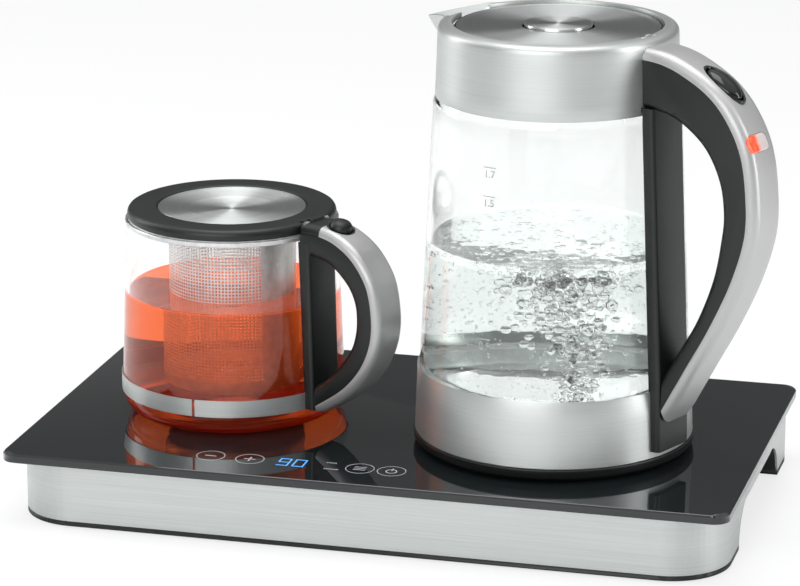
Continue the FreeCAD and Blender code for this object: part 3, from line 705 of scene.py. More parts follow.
def key_ring(x, y, r_in, r_out, sides=40):
    """Thin printed ring lying on the plate."""
    at = (x * MM, y * MM, PRINT_Z * MM)
    nothing_selected()
    bpy.ops.mesh.primitive_circle_add(vertices=sides, radius=r_in * MM, location=at)
    edit()
    pick_all()
    pull(0, 0, 0)
    bpy.ops.transform.resize(value=(r_out / r_in, r_out / r_in, 1), center_override=at)
    pick_all()
    pull(0, 0, PRINT_HIGH * MM)
    return done("mark", 60)


def dash(x, y, half_x, half_y, high=PRINT_HIGH):
    """Small printed bar about its middle."""
    return box_piece("mark", (x - half_x, y - half_y, PRINT_Z), (x + half_x, y + half_y, PRINT_Z + high))


def digit(number, x, y):
    """Seven-bar digit with its lower left corner at x, y."""
    w, h, t = DIGIT_WIDE, DIGIT_HIGH, DIGIT_STROKE
    bars = {"a": (w / 2, h - t / 2, w, t), "d": (w / 2, t / 2, w, t), "g": (w / 2, h / 2, w, t),
            "f": (t / 2, h * 0.75, t, h / 2), "b": (w - t / 2, h * 0.75, t, h / 2),
            "e": (t / 2, h * 0.25, t, h / 2), "c": (w - t / 2, h * 0.25, t, h / 2)}
    gap = t * 0.12
    return [dash(x + dx, y + dy, wide / 2 - gap, high / 2 - gap, 0.05)
            for dx, dy, wide, high in (bars[side] for side in SEGMENTS.get(number, ""))]


class TEA_OT_controls(bpy.types.Operator):
    """Touch rings, their signs and the lit display, printed on the plate"""
    bl_idname = "tea.controls"
    bl_label = "Touch controls"

    def execute(self, context):
        minus, plus, mode, power = KEYS_X
        y = KEYS_Y
        marks = [key_ring(x, y, 7.6, 8.0) for x in KEYS_X]
        marks += [dash(minus, y, 3.2, 0.4), dash(plus, y, 3.2, 0.4), dash(plus, y, 0.4, 3.2)]
        marks += [dash(mode, y + row * 2.2, 3.4, 0.3) for row in (-1, 0, 1)]
        marks += [key_ring(power, y - 0.4, 2.6, 3.2, 32), dash(power, y + 2.35, 0.3, 1.85, 0.06)]
        for dx, word_y, letters in ((-21.1, -86.5, 5), (-20.0, -96.6, 7)):
            marks += [dash(PLATE_AT.x / MM + dx - 2.6 + i * 1.2, word_y, 0.4, 0.5) for i in range(letters)]
        finish(placed(joined(marks, "touch_signs")), "base", "print")
        text = settings().degrees
        step = DIGIT_WIDE + DIGIT_GAP
        left = PLATE_AT.x / MM - 42.4 - (len(text) * step - DIGIT_GAP) / 2
        bars = []
        for i, number in enumerate(text):
            bars += digit(number, left + i * step, y - DIGIT_HIGH / 2)
        finish(placed(joined(bars, "display_number")), "base", "digits")
        return {"FINISHED"}


# The kettle

GLASS_LOW, GLASS_WALL, GLASS_FOOT_R, GLASS_LEAN = 80.2, 3.0, 74.6, 0.0485
SHELL_LOW, SHELL_HIGH, SHELL_WALL, SHELL_FOOT_R, SHELL_TAPER = 49.4, 87.0, 0.8, 77.0, 1.4


def glass_r(z):
    """Outer radius of the kettle's glass."""
    return GLASS_FOOT_R - GLASS_LEAN * (z - SHELL_HIGH)


def shell_r(z):
    """Outer radius of the kettle's steel shell."""
    return SHELL_FOOT_R - SHELL_TAPER * (z - SHELL_LOW) / (SHELL_HIGH - SHELL_LOW)


class TEA_OT_kettle_body(bpy.types.Operator):
    """Foot ring, steel shell, heated floor and glass of the kettle"""
    bl_idname = "tea.kettle_body"
    bl_label = "Kettle body"

    def execute(self, context):
        on_kettle(turned("kettle_foot", [
            (62.4, 41.4), (72.2, 41.4), (73.2, 41.8), (76.8, 44.4), (77.5, 45.4), (77.9, 48.9), (77.6, 49.4),
            (74.6, 49.4), (74.6, 77), (72.4, 77), (72.4, 46.4), (24.3, 46.4), (24.3, 44), (62, 44),
        ], KETTLE_SIDES), "black", "foot_ring", "base_pan")
        shell = [(shell_r(SHELL_LOW) - 0.5, SHELL_LOW)] + [(shell_r(z), z) for z in (50, 60, 72, 86.4)]
        shell += [(shell_r(SHELL_HIGH) - 0.25, SHELL_HIGH), (shell_r(SHELL_HIGH) - SHELL_WALL, 86.8)]
        shell += [(shell_r(z) - SHELL_WALL, z) for z in (72, 50)]
        on_kettle(turned("kettle_shell", shell, KETTLE_SIDES), "steel", "base_shell")
        # The heated floor is painted pale to stand in for light that does not reach it through the glass
        on_kettle(turned("kettle_floor", [
            (0, 68), (69.2, 68), (70.4, 68.6), (70.8, 69.6), (70.8, 77), (74.6, 77), (74.6, 78.2),
            (70.2, 78.2), (69.6, 77.6), (69.6, 71), (69, 69.8), (67.8, 69.4), (60, 69.4), (59, 69),
            (58, 69.4), (0, 69.4),
        ], 128), "heater_steel_with_painted_light", "heater_floor", "heater_wall")
        outer = [(glass_r(GLASS_LOW) - 0.8, GLASS_LOW), (glass_r(81), 81)]
        outer += [(glass_r(z), z) for z in range(90, 235, 12)]
        neck = [(glass_r(234) - 0.05, 234.0), (67, 236.2), (65.6, 238.2), (65.1, 240), (65.1, 247.4),
                (64.5, 248), (62.7, 248), (62.1, 247.4), (62.1, 241), (62.6, 239), (64, 236.6)]
        inner = [(glass_r(z) - GLASS_WALL, z) for z in range(234, 82, -12)]
        inner += [(glass_r(81) - GLASS_WALL, 81), (glass_r(GLASS_LOW) - 2.4, GLASS_LOW)]
        on_kettle(turned("kettle_jug_glass", outer + neck + inner, KETTLE_SIDES, angle=60),
                  "glass", "kettle_glass")
        return {"FINISHED"}


def spout():
    """Pouring lip: a pressed trough that falls toward its tip."""
    across, along = 24, 16
    verts, faces = [], []
    for i in range(along + 1):
        u = i / along
        x = -87.6 + 31.0 * u
        half = 1.0 + 24.6 * u ** 0.86
        high = 270.6 + 6.6 * min(1.0, u / 0.8) ** 0.9
        low = 269.4 - 24.0 * min(1.0, u / 0.72) ** 0.92
        for j in range(across + 1):
            v = 2 * j / across - 1
            bend = 1.6 * math.sin(math.pi * abs(v)) * u
            verts.append(((x + bend) * MM, half * v * MM, (low + (high - low) * abs(v) ** 1.25) * MM))
    for i in range(along):
        for j in range(across):
            a = i * (across + 1) + j
            faces.append((a, a + 1, a + across + 2, a + across + 1))
    obj = new_piece("kettle_spout")
    obj.data.from_pydata(verts, [], faces)
    edit()
    pick_all()
    bpy.ops.mesh.normals_make_consistent(inside=False)
    bpy.ops.object.mode_set(mode="OBJECT")
    wall = obj.modifiers.new("wall", "SOLIDIFY")
    wall.thickness = 0.9 * MM
    wall.offset = 0.0
    bpy.ops.object.modifier_apply(modifier=wall.name)
    edit()
    return done("kettle_spout", 40)


class TEA_OT_kettle_collar(bpy.types.Operator):
    """Steel collar of the kettle with its mouth and pouring lip"""
    bl_idname = "tea.kettle_collar"
    bl_label = "Kettle collar"

    def execute(self, context):
        wall = turned("kettle_collar", [
            (65.5, 238.9), (65.9, 238.2), (66.3, 238.2), (66.45, 238.6), (66.1, 246), (65.6, 258),
            (65.3, 268.5), (65.15, 273.6), (65, 274.8), (64.6, 275.9), (63.9, 276.8), (62.9, 277.4),
            (61.4, 277.8), (59.6, 278.05), (58.2, 278.2), (57.5, 278.1), (57.4, 277.7), (57.4, 275.2),
            (61.2, 275.2), (63.2, 274), (64.4, 268.4), (64.95, 251.4), (62, 251.4), (62, 250.2),
            (65.35, 250.2),
        ], 192)
        mouth = hull("mouth", [(-56, 23.5, 276.4), (-56, -23.5, 276.4), (-56, 22.5, 290), (-56, -22.5, 290),
                               (-86.5, 0, 270.5), (-88, 0, 290), (-56, 0, 252.5)])
        wall = carved(wall, mouth, box_piece("slot", (57.0, -6.3, 275.3), (60.2, 6.3, 280.0)))
        core = turned("core", [
            (0, 230), (65.2, 230), (65.2, 268.4), (64.9, 273.8), (64.2, 275.9), (62.6, 277.2), (60.2, 277.8),
            (58, 278), (58, 290), (0, 290),
        ], KETTLE_SIDES)
        collar = joined([wall, carved(spout(), core)], "kettle_collar")
        on_kettle(collar, "steel", "steel_collar", "spout_lip")
        return {"FINISHED"}


def knuckle(radius, half, soft, x, z, sides):
    """Round end of a lid's arm, lying along Y."""
    pin = turned("knuckle", [
        (0, -half), (radius - soft, -half), (radius, soft - half), (radius, half - soft),
        (radius - soft, half), (0, half),
    ], sides)
    return placed(pin, shift(x, 0, z) @ turn(90, "X"))


class TEA_OT_kettle_lid(bpy.types.Operator):
    """Lid of the kettle: black rim, steel cover, raised middle, skirt and hinge arm"""
    bl_idname = "tea.kettle_lid"
    bl_label = "Kettle lid"

    def execute(self, context):
        on_kettle(turned("kettle_lid_frame", [
            (50.6, 272.8), (55.6, 272.8), (56, 273.1), (56, 276), (55.8, 276.2), (55.5, 276.2),
            (55.4, 275.5), (50.6, 275.5),
        ], KETTLE_SIDES), "black", "lid_frame", body="kettle_lid")
        arm = box_piece("arm", (55.2, -6.0, 275.9), (58.6, 6.0, 277.9), 0.3)
        on_kettle(joined([arm, knuckle(1.3, 6.0, 0.2, 58.5, 276.9, 24)], "kettle_lid_arm"), "lid_steel",
                  body="kettle_lid")
        on_kettle(turned("kettle_lid_cover", [
            (19.6, 275.6), (55, 275.6), (55.3, 275.9), (55.3, 276.2), (54.9, 276.6), (54.2, 276.75),
            (50, 276.7), (36, 276.2), (24, 276.2), (20.8, 276.5), (20.1, 276.4), (19.8, 276), (19.6, 275.8),
        ], KETTLE_SIDES), "lid_steel", "lid_cover", body="kettle_lid")
        on_kettle(turned("kettle_lid_middle", [
            (0, 275.6), (18.4, 275.6), (18.6, 276), (18.6, 277), (18.2, 277.7), (17.2, 278),
            (15.6, 277.9), (8, 277.5), (0, 277.4),
        ], 96), "lid_steel", "lid_button_plate", body="kettle_lid")
        on_kettle(turned("kettle_lid_skirt", [
            (0, 271), (48.6, 271), (49, 270.6), (49, 262.6), (49.6, 262), (50.4, 262), (51, 262.6),
            (51, 272.6), (0, 272.6),
        ], 96), "black", "lid_plug", body="kettle_lid")
        return {"FINISHED"}


def aimed(nx, nz, x, z):
    """Stands a piece modelled up +Z on the handle's XZ plane, along (nx, nz)."""
    return shift(x, 0, z) @ Matrix.Rotation(math.atan2(nx, nz), 4, "Y")


def seat(place, radius, low):
    """What a lid button's recess takes out of a handle."""
    return placed(turned("seat", [(0, low), (radius, low), (radius, 20), (0, 20)]), place)


def grip_blank(name, inner, line, width, start, end, soft, rim):
    """Black inner part of a handle, up to its parting line with the cap."""
    return swept(name, [start] + inner + [end] + line[::-1], width, [(inner, soft, 6), (line, rim, 2)])


def cap_blank(name, line, width, thick, tip, soft):
    """Silver outer part of a handle, drawn out to its lower tip."""
    crown = offset(line, thick)
    crown[-1] = tip
    return swept(name, line + crown[::-1], width, [(crown, soft, 7), (line, 0.3, 2)])


GRIP_IN = [(64, 242), (78, 240.5), (90.9, 235.2), (103.9, 224.7), (112.6, 209.2), (115.6, 192.8),
           (114.7, 178.9), (110.3, 156.1), (101, 132.2), (90, 113), (80.6, 97.5)]
PARTING = [(62, 268.2), (76, 267.2), (90.2, 262.7), (106.3, 254), (117.9, 242), (126.6, 225.5),
           (130.4, 203.9), (130.2, 181.7), (122.4, 156), (109.8, 129.3), (94.4, 102.3), (80.4, 77.5)]
SPINE_WIDTH, GRIP_WIDTH = 29.0, 26.0
BUTTON_PLACE = aimed(0.529, 0.8486, 107.5, 258.8) @ Matrix.Diagonal((1.5, 0.82, 1.0, 1.0))
LAMP_PLACE = aimed(0.902, 0.432, 130.6, 231.6) @ shift(0, -2.6, 0)


class TEA_OT_kettle_handle(bpy.types.Operator):
    """Handle of the kettle: spine, black grip and silver cap"""
    bl_idname = "tea.kettle_handle"
    bl_label = "Kettle handle"

    def execute(self, context):
        face = [(80.5, 53.6), (79.6, 97.5), (72.2, 242.6)]
        spine = swept("kettle_handle_spine", [(68, 53.6)] + face + [(60, 242.6)], SPINE_WIDTH,
                      [(face, 2.4, 4)])
        on_kettle(carved(spine, self.jug()), "black", "handle_spine")
        inner, line = smooth_run(GRIP_IN, 6), smooth_run(PARTING, 6)
        grip = grip_blank("kettle_handle_grip", inner, line, GRIP_WIDTH, (60, 242), (80, 77.5), 4.2, 0.35)
        behind = sawn([(50, 40), (81, 40), (79.65, 97.5), (72.25, 242.6), (50, 242.6)], CUT_WIDTH)
        on_kettle(carved(grip, self.jug(), behind, *self.holes()), "black", "handle_grip")
        cap = cap_blank("kettle_handle_cap", line, GRIP_WIDTH, 6.2, (82.6, 70.5), 5.2)
        on_kettle(carved(cap, self.jug(), *self.holes()), "silver", "handle_cap")
        return {"FINISHED"}

    def jug(self):
        """Shell, glass and collar with a hair of room, which the handle follows."""
        return turned("jug", [
            (0, 40), (78.4, 40), (78.4, 49.4), (77.05, 49.4), (75.65, 87), (74.65, 87.01), (67.5, 234),
            (67.5, 240.2), (66.45, 240.3), (65.4, 268.5), (65.25, 273.7), (64.7, 276), (63, 277.5),
            (60, 280), (0, 280),
        ], KETTLE_SIDES)

    def holes(self):
        """Room for the lid button and for the lamp window."""
        window = pill("window", 4.9, 8.7, -3.5, 12, 3.4)
        return seat(BUTTON_PLACE, 10.0, -8.1), placed(window, LAMP_PLACE)


class TEA_OT_kettle_button(bpy.types.Operator):
    """Lid button of the kettle in its recess, and the lamp window"""
    bl_idname = "tea.kettle_button"
    bl_label = "Kettle lid button"

    def execute(self, context):
        well = turned("kettle_button_recess", [
            (2.7, -8), (9.9, -8), (9.9, 0), (9.6, 0.5), (9.1, 0.6), (8.8, 0.2), (8.8, -6.6), (2.7, -6.6),
        ])
        on_kettle(placed(well, BUTTON_PLACE), "gloss", "lid_press_well")
        press = turned("kettle_button_dome", [
            (0, -10), (2.4, -10), (2.4, -3.2), (7.6, -3.2), (8, -2.8), (8, 0.2), (7.6, 1.2), (6.5, 2.3),
            (4.8, 3.1), (2.8, 3.6), (0, 3.8),
        ])
        on_kettle(placed(press, BUTTON_PLACE), "gloss", "lid_press", body="kettle_press")
        lens = pill("kettle_lamp_window", 4.8, 8.6, -3.4, 0.5, 3.3, 0.8)
        on_kettle(placed(lens, LAMP_PLACE), "lens", "lamp_lens")
        return {"FINISHED"}


WATER_GAP = 2.94
RING_STEP = 2.6
# Roughly toward the camera, in the kettle's own frame
FRONT_X, FRONT_Y = 0.588, -0.809
PLUME_X, PLUME_Y, PLUME_LEAN = 27.0, -14.0, 22.0
WALL_BUBBLES, SURFACE_BUBBLES, PLUME_BUBBLES = 0.40, 0.62, 0.72


def boil(x, y):
    """How far the boiling surface stands above its level, with a swell toward the camera."""
    waves = (2.4 * math.sin(x * 0.11 + 1.0) * math.cos(y * 0.09) + 1.7 * math.sin(x * 0.27 - y * 0.19 + 0.6)
             + 1.1 * math.sin(y * 0.43 + x * 0.16) + 0.7 * math.sin(x * 0.79 + y * 0.61)
             + 0.5 * math.sin(y * 1.1 - x * 0.9))
    near = max(0.0, (FRONT_X * x + FRONT_Y * y) / 62.0)
    along = FRONT_X * y - FRONT_Y * x
    return waves + 5.0 * near * near * (1.0 - 0.25 * math.sin(0.06 * along))


def one_bubble(top):
    """Middle and half sizes of one bubble: on the wall, in the plume, under the surface or free."""
    a = random.uniform(0, 2 * math.pi)
    u = random.random()
    z = 71.5 + (top - 74) * u ** 0.8
    kind = random.random()
    r = (glass_r(z) - 6.0) * math.sqrt(random.random())
    s = random.choice((0.3, 0.4, 0.5, 0.6, 0.8)) * (0.7 + 0.6 * u)
    if kind < WALL_BUBBLES:
        r = glass_r(z) - 4.2 - random.random() * 2.5
    x, y = r * math.cos(a), r * math.sin(a)
    if kind > PLUME_BUBBLES:
        spread = 5 + 15 * u
        x = PLUME_X + random.gauss(0, spread)
        y = PLUME_Y - PLUME_LEAN * u + random.gauss(0, spread)
        s = random.choice((0.8, 1.2, 1.8, 2.6, 3.4)) * (0.6 + 0.5 * u)
    elif kind > SURFACE_BUBBLES:
        z = top - 2.0 - random.random() * 7.0
        s = random.choice((0.8, 1.2, 1.8))
    far = math.hypot(x, y)
    limit = glass_r(z) - 4.4 - s
    if far > limit:
        x, y = x * limit / far, y * limit / far
    z = max(71.0 + s, min(z, top - 5.5 - s))
    half = Vector((random.uniform(0.8, 1.25), random.uniform(0.8, 1.25), random.uniform(0.6, 1))) * s
    return Vector((x, y, z)), half


class TEA_OT_water(bpy.types.Operator):
    """Boiling water and its bubbles"""
    bl_idname = "tea.water"
    bl_label = "Boiling water"

    def execute(self, context):
        top = settings().water_level / MM
        random.seed(7)
        side = [(0, 69.46), (67.6, 69.46), (69.5, 71.5), (69.5, 77.6), (glass_r(80) - 3.3, 79.5)]
        side += [(glass_r(z) - WATER_GAP, z) for z in range(81, int(top) - 2, 10)]
        side.append((glass_r(top) - WATER_GAP, top))
        r = glass_r(top) - 6.0
        while r > 3:
            side.append((r, top))
            r -= RING_STEP
        water = turned("kettle_water", side + [(0, top)], 144, closed=False, angle=60)
        for v in water.data.vertices:
            if v.co.z > top * MM - 1e-5:
                v.co.z += boil(v.co.x / MM, v.co.y / MM) * MM
        on_kettle(water, "water")
        self.bubbles(top)
        return {"FINISHED"}

    def bubbles(self, top):
        """All bubbles as one piece, each a squashed copy of a small ball."""
        nothing_selected()
        bpy.ops.mesh.primitive_uv_sphere_add(segments=8, ring_count=5, radius=1.0)
        ball = bpy.context.object
        ball.name = "kettle_bubbles"
        skin = [v.co.copy() for v in ball.data.vertices]
        faces = [tuple(f.vertices) for f in ball.data.polygons]
        verts, polys = [], []
        for _ in range(settings().bubbles):
            at, half = one_bubble(top)
            first = len(verts)
            verts += [(at + p * half) * MM for p in skin]
            polys += [[first + k for k in face] for face in faces]
        ball.data.clear_geometry()
        ball.data.from_pydata(verts, [], polys)
        ball.data.polygons.foreach_set("use_smooth", [True] * len(polys))
        on_kettle(ball, "bubble")


class TEA_OT_scale(bpy.types.Operator):
    """Printed litre scale on the kettle glass"""
    bl_idname = "tea.scale"
    bl_label = "Litre scale"

    def execute(self, context):
        pieces = []
        for z, litres in ((211.6, "1.7"), (196.0, "1.5"), (118.0, "0.5")):
            r = glass_r(z) + 0.14
            pieces.append(box_piece("tick", (r - 0.07, -3.8, z - 0.25), (r, 3.8, z + 0.25)))
            nothing_selected()
            bpy.ops.object.text_add(location=(0, 0, 0))
            word = bpy.context.object.data
            word.body = litres
            word.size = 5.6 * MM
            word.offset = 0.06 * MM
            word.align_x = "CENTER"
            bpy.ops.object.convert(target="MESH")
            pieces.append(placed(bpy.context.object, shift(r, 0, z - 5.4) @ turn(90) @ turn(90, "X")))
        place = Matrix.Translation(KETTLE_AT) @ turn(SCALE_TURN)
        finish(placed(joined(pieces, "kettle_scale"), place), "kettle", "scale")
        return {"FINISHED"}


# The teapot

POT_BORE = [(52, 45), (56, 45.8), (58.6, 47.8), (60.2, 51), (60.7, 54), (60.7, 63.2), (60.4, 74), (59.9, 84),
            (59.3, 101.5), (58.8, 115), (58.2, 128), (57.5, 142), (57.1, 150)]
POT_BELLY = [(52, 41.4), (57.6, 42.8), (61.2, 46.2), (63, 51), (63.2, 54)]
INFUSER_R, INFUSER_LOW, INFUSER_HIGH = 36.0, 66.0, 146.0
HOLE_WEB = 0.17
SEAM_HALF = 22


def bore_r(z):
    """Inner radius of the teapot's glass."""
    for (r0, low), (r1, high) in zip(POT_BORE, POT_BORE[1:]):
        if low <= z <= high:
            return r0 + (r1 - r0) * (z - low) / (high - low)
    raise ValueError("the tea stands outside the teapot")


class TEA_OT_pot_body(bpy.types.Operator):
    """Glass of the teapot with its clamp and neck ring"""
    bl_idname = "tea.pot_body"
    bl_label = "Teapot body"

    def execute(self, context):
        outer = [(0, 42), (44, 42), (45, 41.6), (46, 41.4)] + smooth_run(POT_BELLY, 4)
        outer += [(63.2, 63.2), (62.7, 74), (62.3, 84), (61.7, 101.5), (61.2, 115), (60.6, 128), (59.9, 142),
                  (59.5, 150), (59.2, 151.8), (58.6, 152.4)]
        inner = [(57.4, 152.4), (56.8, 151.8)] + POT_BORE[::-1] + [(0, 45)]
        on_teapot(turned("teapot_glass", outer + inner, POT_SIDES, closed=False, angle=60),
                  "glass", "pot_glass")
        finish(copied("pot_clamp", "teapot_clamp"), "teapot", "steel", "pot_clamp")
        on_teapot(turned("teapot_neck_ring", [
            (57.2, 152.4), (59.7, 152.4), (59.7, 150.6), (60, 150.5), (60.3, 150.7), (60.3, 152.6),
            (60, 153), (57.4, 153), (57.2, 152.8),
        ], POT_SIDES), "aluminium", "pot_neck_ring")
        return {"FINISHED"}


class TEA_OT_infuser(bpy.types.Operator):
    """Perforated steel infuser"""
    bl_idname = "tea.infuser"
    bl_label = "Infuser"

    def execute(self, context):
        pitch = settings().hole_pitch / MM
        columns = round(2 * math.pi * INFUSER_R / pitch)
        height = INFUSER_HIGH - INFUSER_LOW
        rows = round(height / pitch)
        wall = [(INFUSER_R, INFUSER_LOW + height * i / rows) for i in range(rows + 1)]
        mesh = turned("infuser_mesh", wall, columns, closed=False, angle=60)
        edit()
        bpy.ops.mesh.select_mode(type="FACE")
        pick_all()
        bpy.ops.mesh.inset(thickness=pitch * HOLE_WEB * MM, use_individual=True)
        holes = bmesh.from_edit_mesh(mesh.data)
        for face in holes.faces:
            mid = face.calc_center_median()
            if abs(math.atan2(mid.y, mid.x)) < math.radians(SEAM_HALF):
                face.select = False
        bmesh.update_edit_mesh(mesh.data)
        bpy.ops.mesh.delete(type="FACE")
        bpy.ops.object.mode_set(mode="OBJECT")
        on_teapot(mesh, "mesh_steel", body="infuser")
        cup = turned("infuser_rim", [
            (0, 58), (34, 58), (35.4, 58.6), (36, 60), (36.05, 66), (35.75, 66.2), (35.4, 66), (35.3, 60.4),
            (34.4, 59.1), (33.4, 58.7), (0, 58.6),
        ], columns, closed=False)
        lip = turned("infuser_lip", [
            (35.75, 145.8), (36.1, 146), (36.05, 150.6), (36.6, 152), (38, 153), (58.4, 153),
            (58.6, 153.3), (58.4, 153.6), (37.6, 153.6), (36.2, 152.6), (35.5, 150.8), (35.45, 146),
        ], columns)
        on_teapot(joined([cup, lip], "infuser_rim"), "mesh_steel", "infuser_basket", body="infuser")
        return {"FINISHED"}


class TEA_OT_pot_lid(bpy.types.Operator):
    """Black teapot lid with its dished steel disc"""
    bl_idname = "tea.pot_lid"
    bl_label = "Teapot lid"

    def execute(self, context):
        rim = turned("teapot_lid_ring", [
            (42.2, 156.1), (30, 156.1), (30, 153.9), (58.4, 153.9), (58.9, 154.3), (59, 156.4),
            (58.7, 157.6), (57.9, 158.8), (56.8, 159.45), (55.6, 159.6), (43.8, 159.6), (42.8, 159.45),
            (42.3, 159),
        ], POT_SIDES)
        arm = box_piece("arm", (54.0, -5.6, 158.2), (61.4, 5.6, 160.8), 0.7)
        on_teapot(joined([rim, arm, knuckle(2.4, 5.7, 0.3, 61.5, 160.2, 32)], "teapot_lid_ring"),
                  "black", "pot_lid_ring", body="pot_lid", slot="gloss_black")
        on_teapot(turned("teapot_lid_disc", [
            (0, 156.1), (41.6, 156.1), (42, 156.6), (42, 158.4), (41.6, 158.9), (40.9, 159),
            (39.6, 158.8), (34, 158.2), (26, 157.8), (24.4, 157.75), (23.4, 157.4), (12, 157.2), (0, 157.15),
        ], POT_SIDES), "dish_steel", "pot_lid_disc", body="pot_lid")
        on_teapot(turned("teapot_lid_cone", [
            (0, 134), (1.2, 134.3), (2.4, 135.4), (9.2, 147), (11, 148.4), (17, 149.4), (29.2, 153.4),
            (29.8, 153.9), (29.8, 156.1), (0, 156.1),
        ], 96), "aluminium", "pot_lid_cone", body="pot_lid", slot="black_plastic")
        return {"FINISHED"}


POT_IN = [(66, 142.5), (77, 140.6), (85.4, 135.7), (92.9, 128.4), (96.8, 120.5), (97.8, 112),
          (97, 103.2), (93.8, 93.9), (86.5, 83.6), (77, 74.6), (69, 68.6)]
POT_PARTING = [(60, 155.5), (72, 155.2), (83, 152.8), (94, 146.8), (101.8, 138.6), (107, 129),
               (109.5, 114.2), (108.8, 102), (104.8, 90.2), (98, 79.6), (87, 68.6), (69.4, 56.6)]
POT_SPINE_WIDTH, POT_GRIP_WIDTH = 24.0, 23.0
POT_SEAT_R, POT_SEAT_LOW = 8.05, -7.1
POT_BUTTON_PLACE = aimed(0.30, 0.954, 79.5, 158.6)


class TEA_OT_pot_handle(bpy.types.Operator):
    """Handle of the teapot with its lid button"""
    bl_idname = "tea.pot_handle"
    bl_label = "Teapot handle"

    def execute(self, context):
        face = [(68.6, 54), (65.6, 150)]
        spine = swept("teapot_spine", [(58, 54)] + face + [(56, 150)], POT_SPINE_WIDTH, [(face, 2.0, 4)])
        on_teapot(carved(spine, self.pot()), "black", "pot_spine")
        inner, line = smooth_run(POT_IN, 6), smooth_run(POT_PARTING, 6)
        grip = grip_blank("teapot_grip", inner, line, POT_GRIP_WIDTH, (58, 142.5), (68, 56.6), 3.8, 0.3)
        behind = sawn([(40, 40), (69, 40), (65.65, 150), (40, 150)], CUT_WIDTH)
        ears = box_piece("ears", (50.0, -10.1, 154.8), (64.6, 10.1, 165.0))
        grip = carved(grip, self.pot(), behind, seat(POT_BUTTON_PLACE, POT_SEAT_R, POT_SEAT_LOW), ears)
        cap = cap_blank("teapot_handle_cap", line, POT_GRIP_WIDTH, 5.2, (70, 52.2), 4.4)
        gap = box_piece("gap", (50.0, -6.1, 156.0), (62.5, 6.1, 172.0))
        cap = carved(cap, self.pot(), seat(POT_BUTTON_PLACE, POT_SEAT_R, POT_SEAT_LOW), gap)
        only(cap)
        bpy.ops.object.duplicate()
        root = carved(bpy.context.object, box_piece("outer", (73.0, -20, 140), (130, 20, 175)),
                      box_piece("lower", (50, -20, 30), (130, 20, 141)))
        cap = carved(cap, box_piece("inner", (50.0, -20, 141), (73.0, 20, 175)))
        on_teapot(joined([grip, root], "teapot_grip"), "black", "pot_grip")
        on_teapot(cap, "silver", "pot_cap")
        well = turned("teapot_button_recess", [
            (2.7, -7), (8, -7), (8, 0.3), (7.7, 0.6), (7.1, 0.6), (6.8, 0.3), (6.8, -5.8), (2.7, -5.8),
        ])
        on_teapot(placed(well, POT_BUTTON_PLACE), "gloss", "pot_press_well")
        press = turned("teapot_button_dome", [
            (0, -8.6), (2.4, -8.6), (2.4, -2.6), (5.8, -2.6), (6.3, -2.2), (6.4, 0.9), (6, 2.6), (4.8, 4.1),
            (2.6, 5), (0, 5.2),
        ])
        on_teapot(placed(press, POT_BUTTON_PLACE), "black", "pot_press", body="pot_press",
                  slot="gloss_black")
        return {"FINISHED"}

    def pot(self):
        """Glass, clamp and neck ring with a hair of room, which the handle follows."""
        return turned("pot", [
            (0, 40), (64, 40), (64, 63.8), (63.45, 63.9), (62.55, 84), (61.95, 101.5), (60.85, 128),
            (59.75, 150), (60.55, 150.2), (60.6, 170), (0, 170),
        ], POT_SIDES)


class TEA_OT_tea(bpy.types.Operator):
    """Red tea in the teapot"""
    bl_idname = "tea.tea"
    bl_label = "Tea"

    def execute(self, context):
        top = settings().tea_level / MM
        rim = bore_r(top)
        side = [(0, 44.94), (52, 44.94)] + [(r + 0.06, z) for r, z in POT_BORE[1:] if z < top]
        side += [(rim + 0.06, top + 0.6), (rim - 0.8, top + 0.1), (rim - 2.0, top), (0, top)]
        on_teapot(turned("teapot_tea", side, POT_SIDES, closed=False, angle=60), "tea")
        return {"FINISHED"}


class TEA_OT_inside(bpy.types.Operator):
    """Hinge block of the kettle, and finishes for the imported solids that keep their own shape"""
    bl_idname = "tea.inside"
    bl_label = "Inner parts"

    def execute(self, context):
        for node, paint in HIDDEN.items():
            nodes[node].data.materials.clear()
            nodes[node].data.materials.append(finishes[paint][1])
        block = box_piece("kettle_hinge_block", (57.9, -9.9, 257.2), (62.4, 9.9, 274.4), 0.6)
        on_kettle(block, "black", "lid_hinge_block")
        return {"FINISHED"}


# Floor, light and camera

FOCAL_PIXELS = 3683.19
PHOTO_WIDTH = 800
SENSOR = 36.0
FLOOR_GLOW = 0.74
CAMERA_YAW, CAMERA_PITCH = 0.260037, 0.283694
CAMERA_AT = Vector((0.504053 + PLATE_AT.x, -1.916062, 0.692853))

# Name, place, aim, width, height and power of each softbox
SOFTBOXES = (
    ("front_softbox", (-0.35, -2.3, 1.0), (0, 0, 0.1), 1.9, 1.2, 26),
    ("right_softbox", (1.5, -0.12, 0.55), (0, 0, 0.15), 0.30, 1.3, 9),
    ("left_softbox", (-1.6, 0.3, 0.8), (0, 0, 0.12), 0.5, 1.4, 9),
    ("top_softbox", (-0.1, 0.0, 1.9), (0, 0, 0.1), 1.3, 1.3, 18),
)


